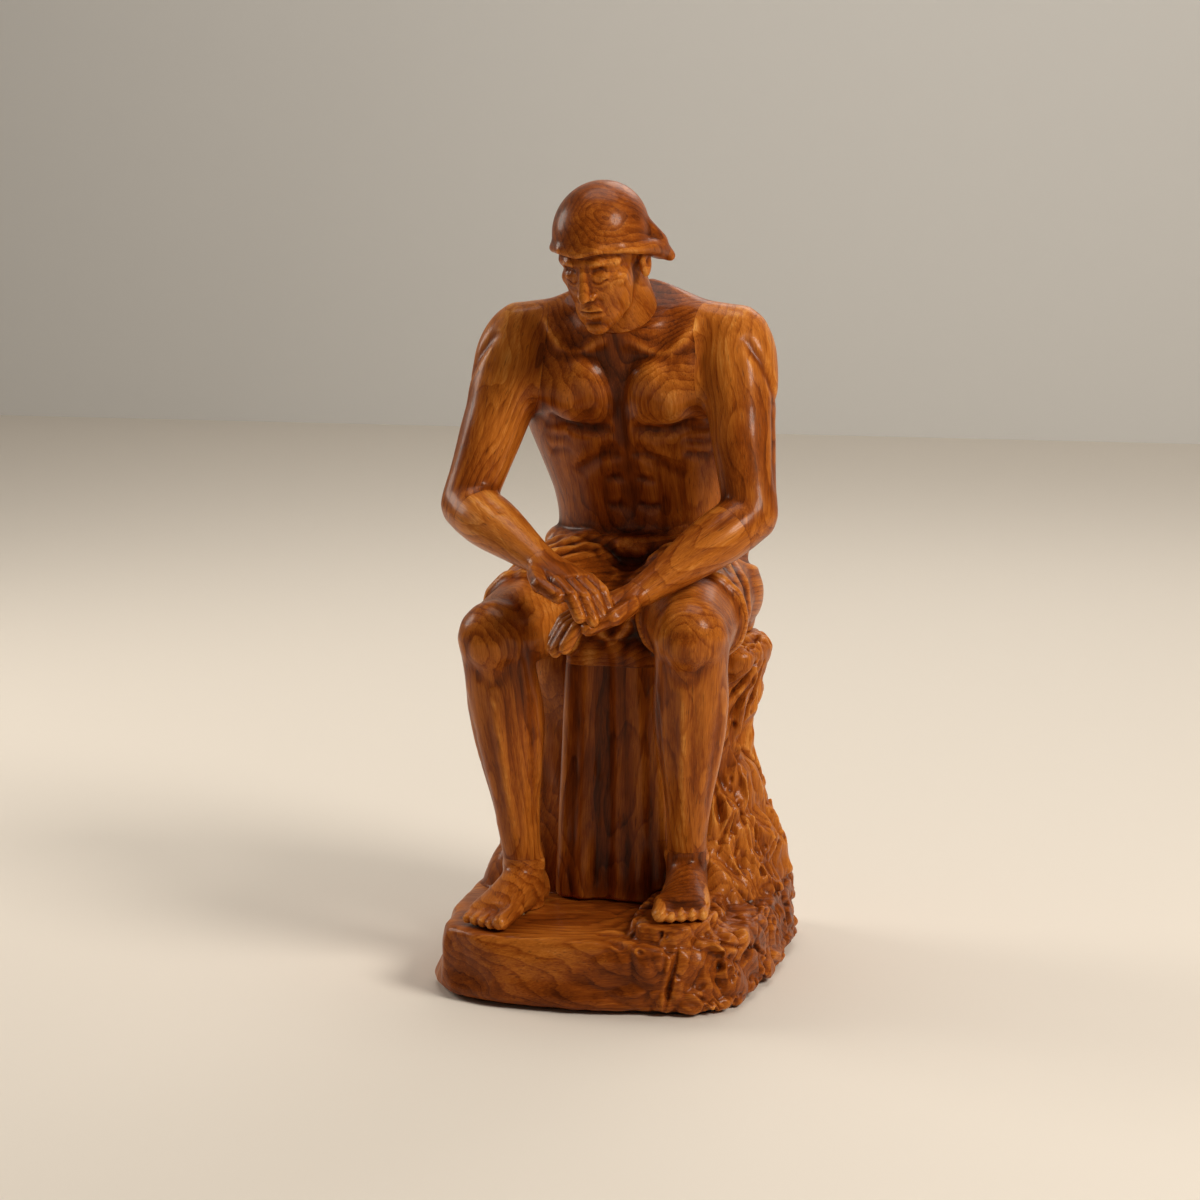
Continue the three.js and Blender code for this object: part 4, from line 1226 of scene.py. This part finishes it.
def dress_nodes(pieces):
    """Materials of the blocks that stay as they are: pegs and felt."""
    pale, fair = (0.42, 0.24, 0.1), (0.66, 0.45, 0.24)
    pegs = fibrous("pale_peg_wood", (1.4, 3.0, 0.6), (pale, fair), (0.2, 0.5), (0.3, 0.1))
    black, brown = (0.02, 0.011, 0.008), (0.07, 0.04, 0.03)
    felt = fibrous("pressed_felt", (2.2, 4.0, 0.7, 1.5), (black, brown), (0.1, 0.85), (0.6, 0.3))
    for name, node in nodes.items():
        if name not in pieces:
            node.data.materials.clear()
            node.data.materials.append(felt if name == "base_felt" else pegs)


LIMB_PEGS = {
    "upper_arm": ("shoulder", "elbow"), "forearm": ("elbow", "wrist"), "hand": ("wrist",),
    "leg": ("thigh", "ankle"), "foot": ("ankle", "sole"),
}


def peg_list():
    """The pegs that each block is bored for."""
    pairs = ("seat_foot", "seat_top", "waist")
    feet, tops, waists = ([f"{name}_peg_{w}" for w in SIDES] for name in pairs)
    pegs = {
        "plinth": feet + [f"{w}_sole_peg" for w in SIDES],
        "seat_rock": feet + tops,
        "draped_lap": tops + waists + [f"{w}_thigh_peg" for w in SIDES],
        "torso": [*waists, "neck_peg"] + [f"{w}_shoulder_peg" for w in SIDES],
        "head": ["neck_peg"],
    }
    for w in SIDES:
        for block, ends in LIMB_PEGS.items():
            pegs[f"{w}_{block}"] = [f"{w}_{end}_peg" for end in ends]
    return pegs


pieces = {**body(), **head(), **rock()}
for limbs in both:
    pieces.update({**forearm(limbs), **hand(limbs), **foot(limbs)})
for name, pegs in peg_list().items():
    bored(pieces[name], pegs)
dress(pieces)
dress_nodes(pieces)


# Floor, light and camera

def flat(name, size, location, rotation, colour):
    """A plain sheet of the studio."""
    bpy.ops.mesh.primitive_plane_add(size=size, location=location, rotation=rotation)
    plane = bpy.context.object
    plane.name = name
    material, w = new_material(name)
    w.look(Base_Color=(*colour, 1), Roughness=0.85)
    plane.data.materials.append(material)


def soft_light(name, at, aim, size, watts, colour):
    lamp = bpy.data.lights.new(name, "AREA")
    lamp.shape = "DISK"
    lamp.size = size
    lamp.energy = watts
    lamp.color = colour
    obj = added(name, lamp)
    obj.location = at
    obj.rotation_euler = (Vector(aim) - Vector(at)).to_track_quat("-Z", "Y").to_euler()


MIDDLE = (0, 0, 0.12)  # of the carving
# Lamps: place, aim, size, watts and colour
LAMPS = {
    "key": ((0.74, -0.36, 0.73), MIDDLE, 0.4, 8.2, (1, 0.95, 0.88)),
    "left": ((-0.8, 0.15, 0.5), MIDDLE, 0.4, 3.0, (1, 0.95, 0.88)),
    "back": ((0.1, 0.8, 0.75), MIDDLE, 0.5, 1.4, (1, 0.97, 0.93)),
    "wall_wash": ((0, 0.5, 1.7), (0, 1.5, 0.3), 1.4, 14, (1, 0.98, 0.95)),
}
FLOOR_COLOUR = (0.74, 0.67, 0.58)
WALL_COLOUR = (0.78, 0.76, 0.72)
ROOM_COLOUR = (0.85, 0.75, 0.62, 1)
ROOM_LIGHT = 0.12
CAMERA_TURN, CAMERA_RISE = math.radians(14), math.radians(9)
CAMERA_DISTANCE = 0.84
CAMERA_AIM = Vector((-0.005, -0.002, 0.11))


def studio():
    flat("floor", 8, (0, 0, 0), (0, 0, 0), FLOOR_COLOUR)
    flat("wall", 8, (0, 1.6, 2), (math.pi / 2, 0, 0), WALL_COLOUR)
    for name, values in LAMPS.items():
        soft_light(name, *values)
    world = bpy.data.worlds.new("studio")
    world.use_nodes = True
    background = world.node_tree.nodes["Background"]
    background.inputs["Color"].default_value = ROOM_COLOUR
    background.inputs["Strength"].default_value = ROOM_LIGHT
    bpy.context.scene.world = world
    bpy.context.scene.view_settings.view_transform = "Standard"


def camera():
    lens = bpy.data.cameras.new("camera")
    lens.lens = 85
    lens.sensor_width = 36
    obj = added("camera", lens)
    level = math.cos(CAMERA_RISE)
    back = Vector((math.sin(CAMERA_TURN) * level, -math.cos(CAMERA_TURN) * level, math.sin(CAMERA_RISE)))
    obj.location = CAMERA_AIM + back * CAMERA_DISTANCE
    obj.rotation_euler = (-back).to_track_quat("-Z", "Y").to_euler()
    bpy.context.scene.camera = obj


studio()
camera()
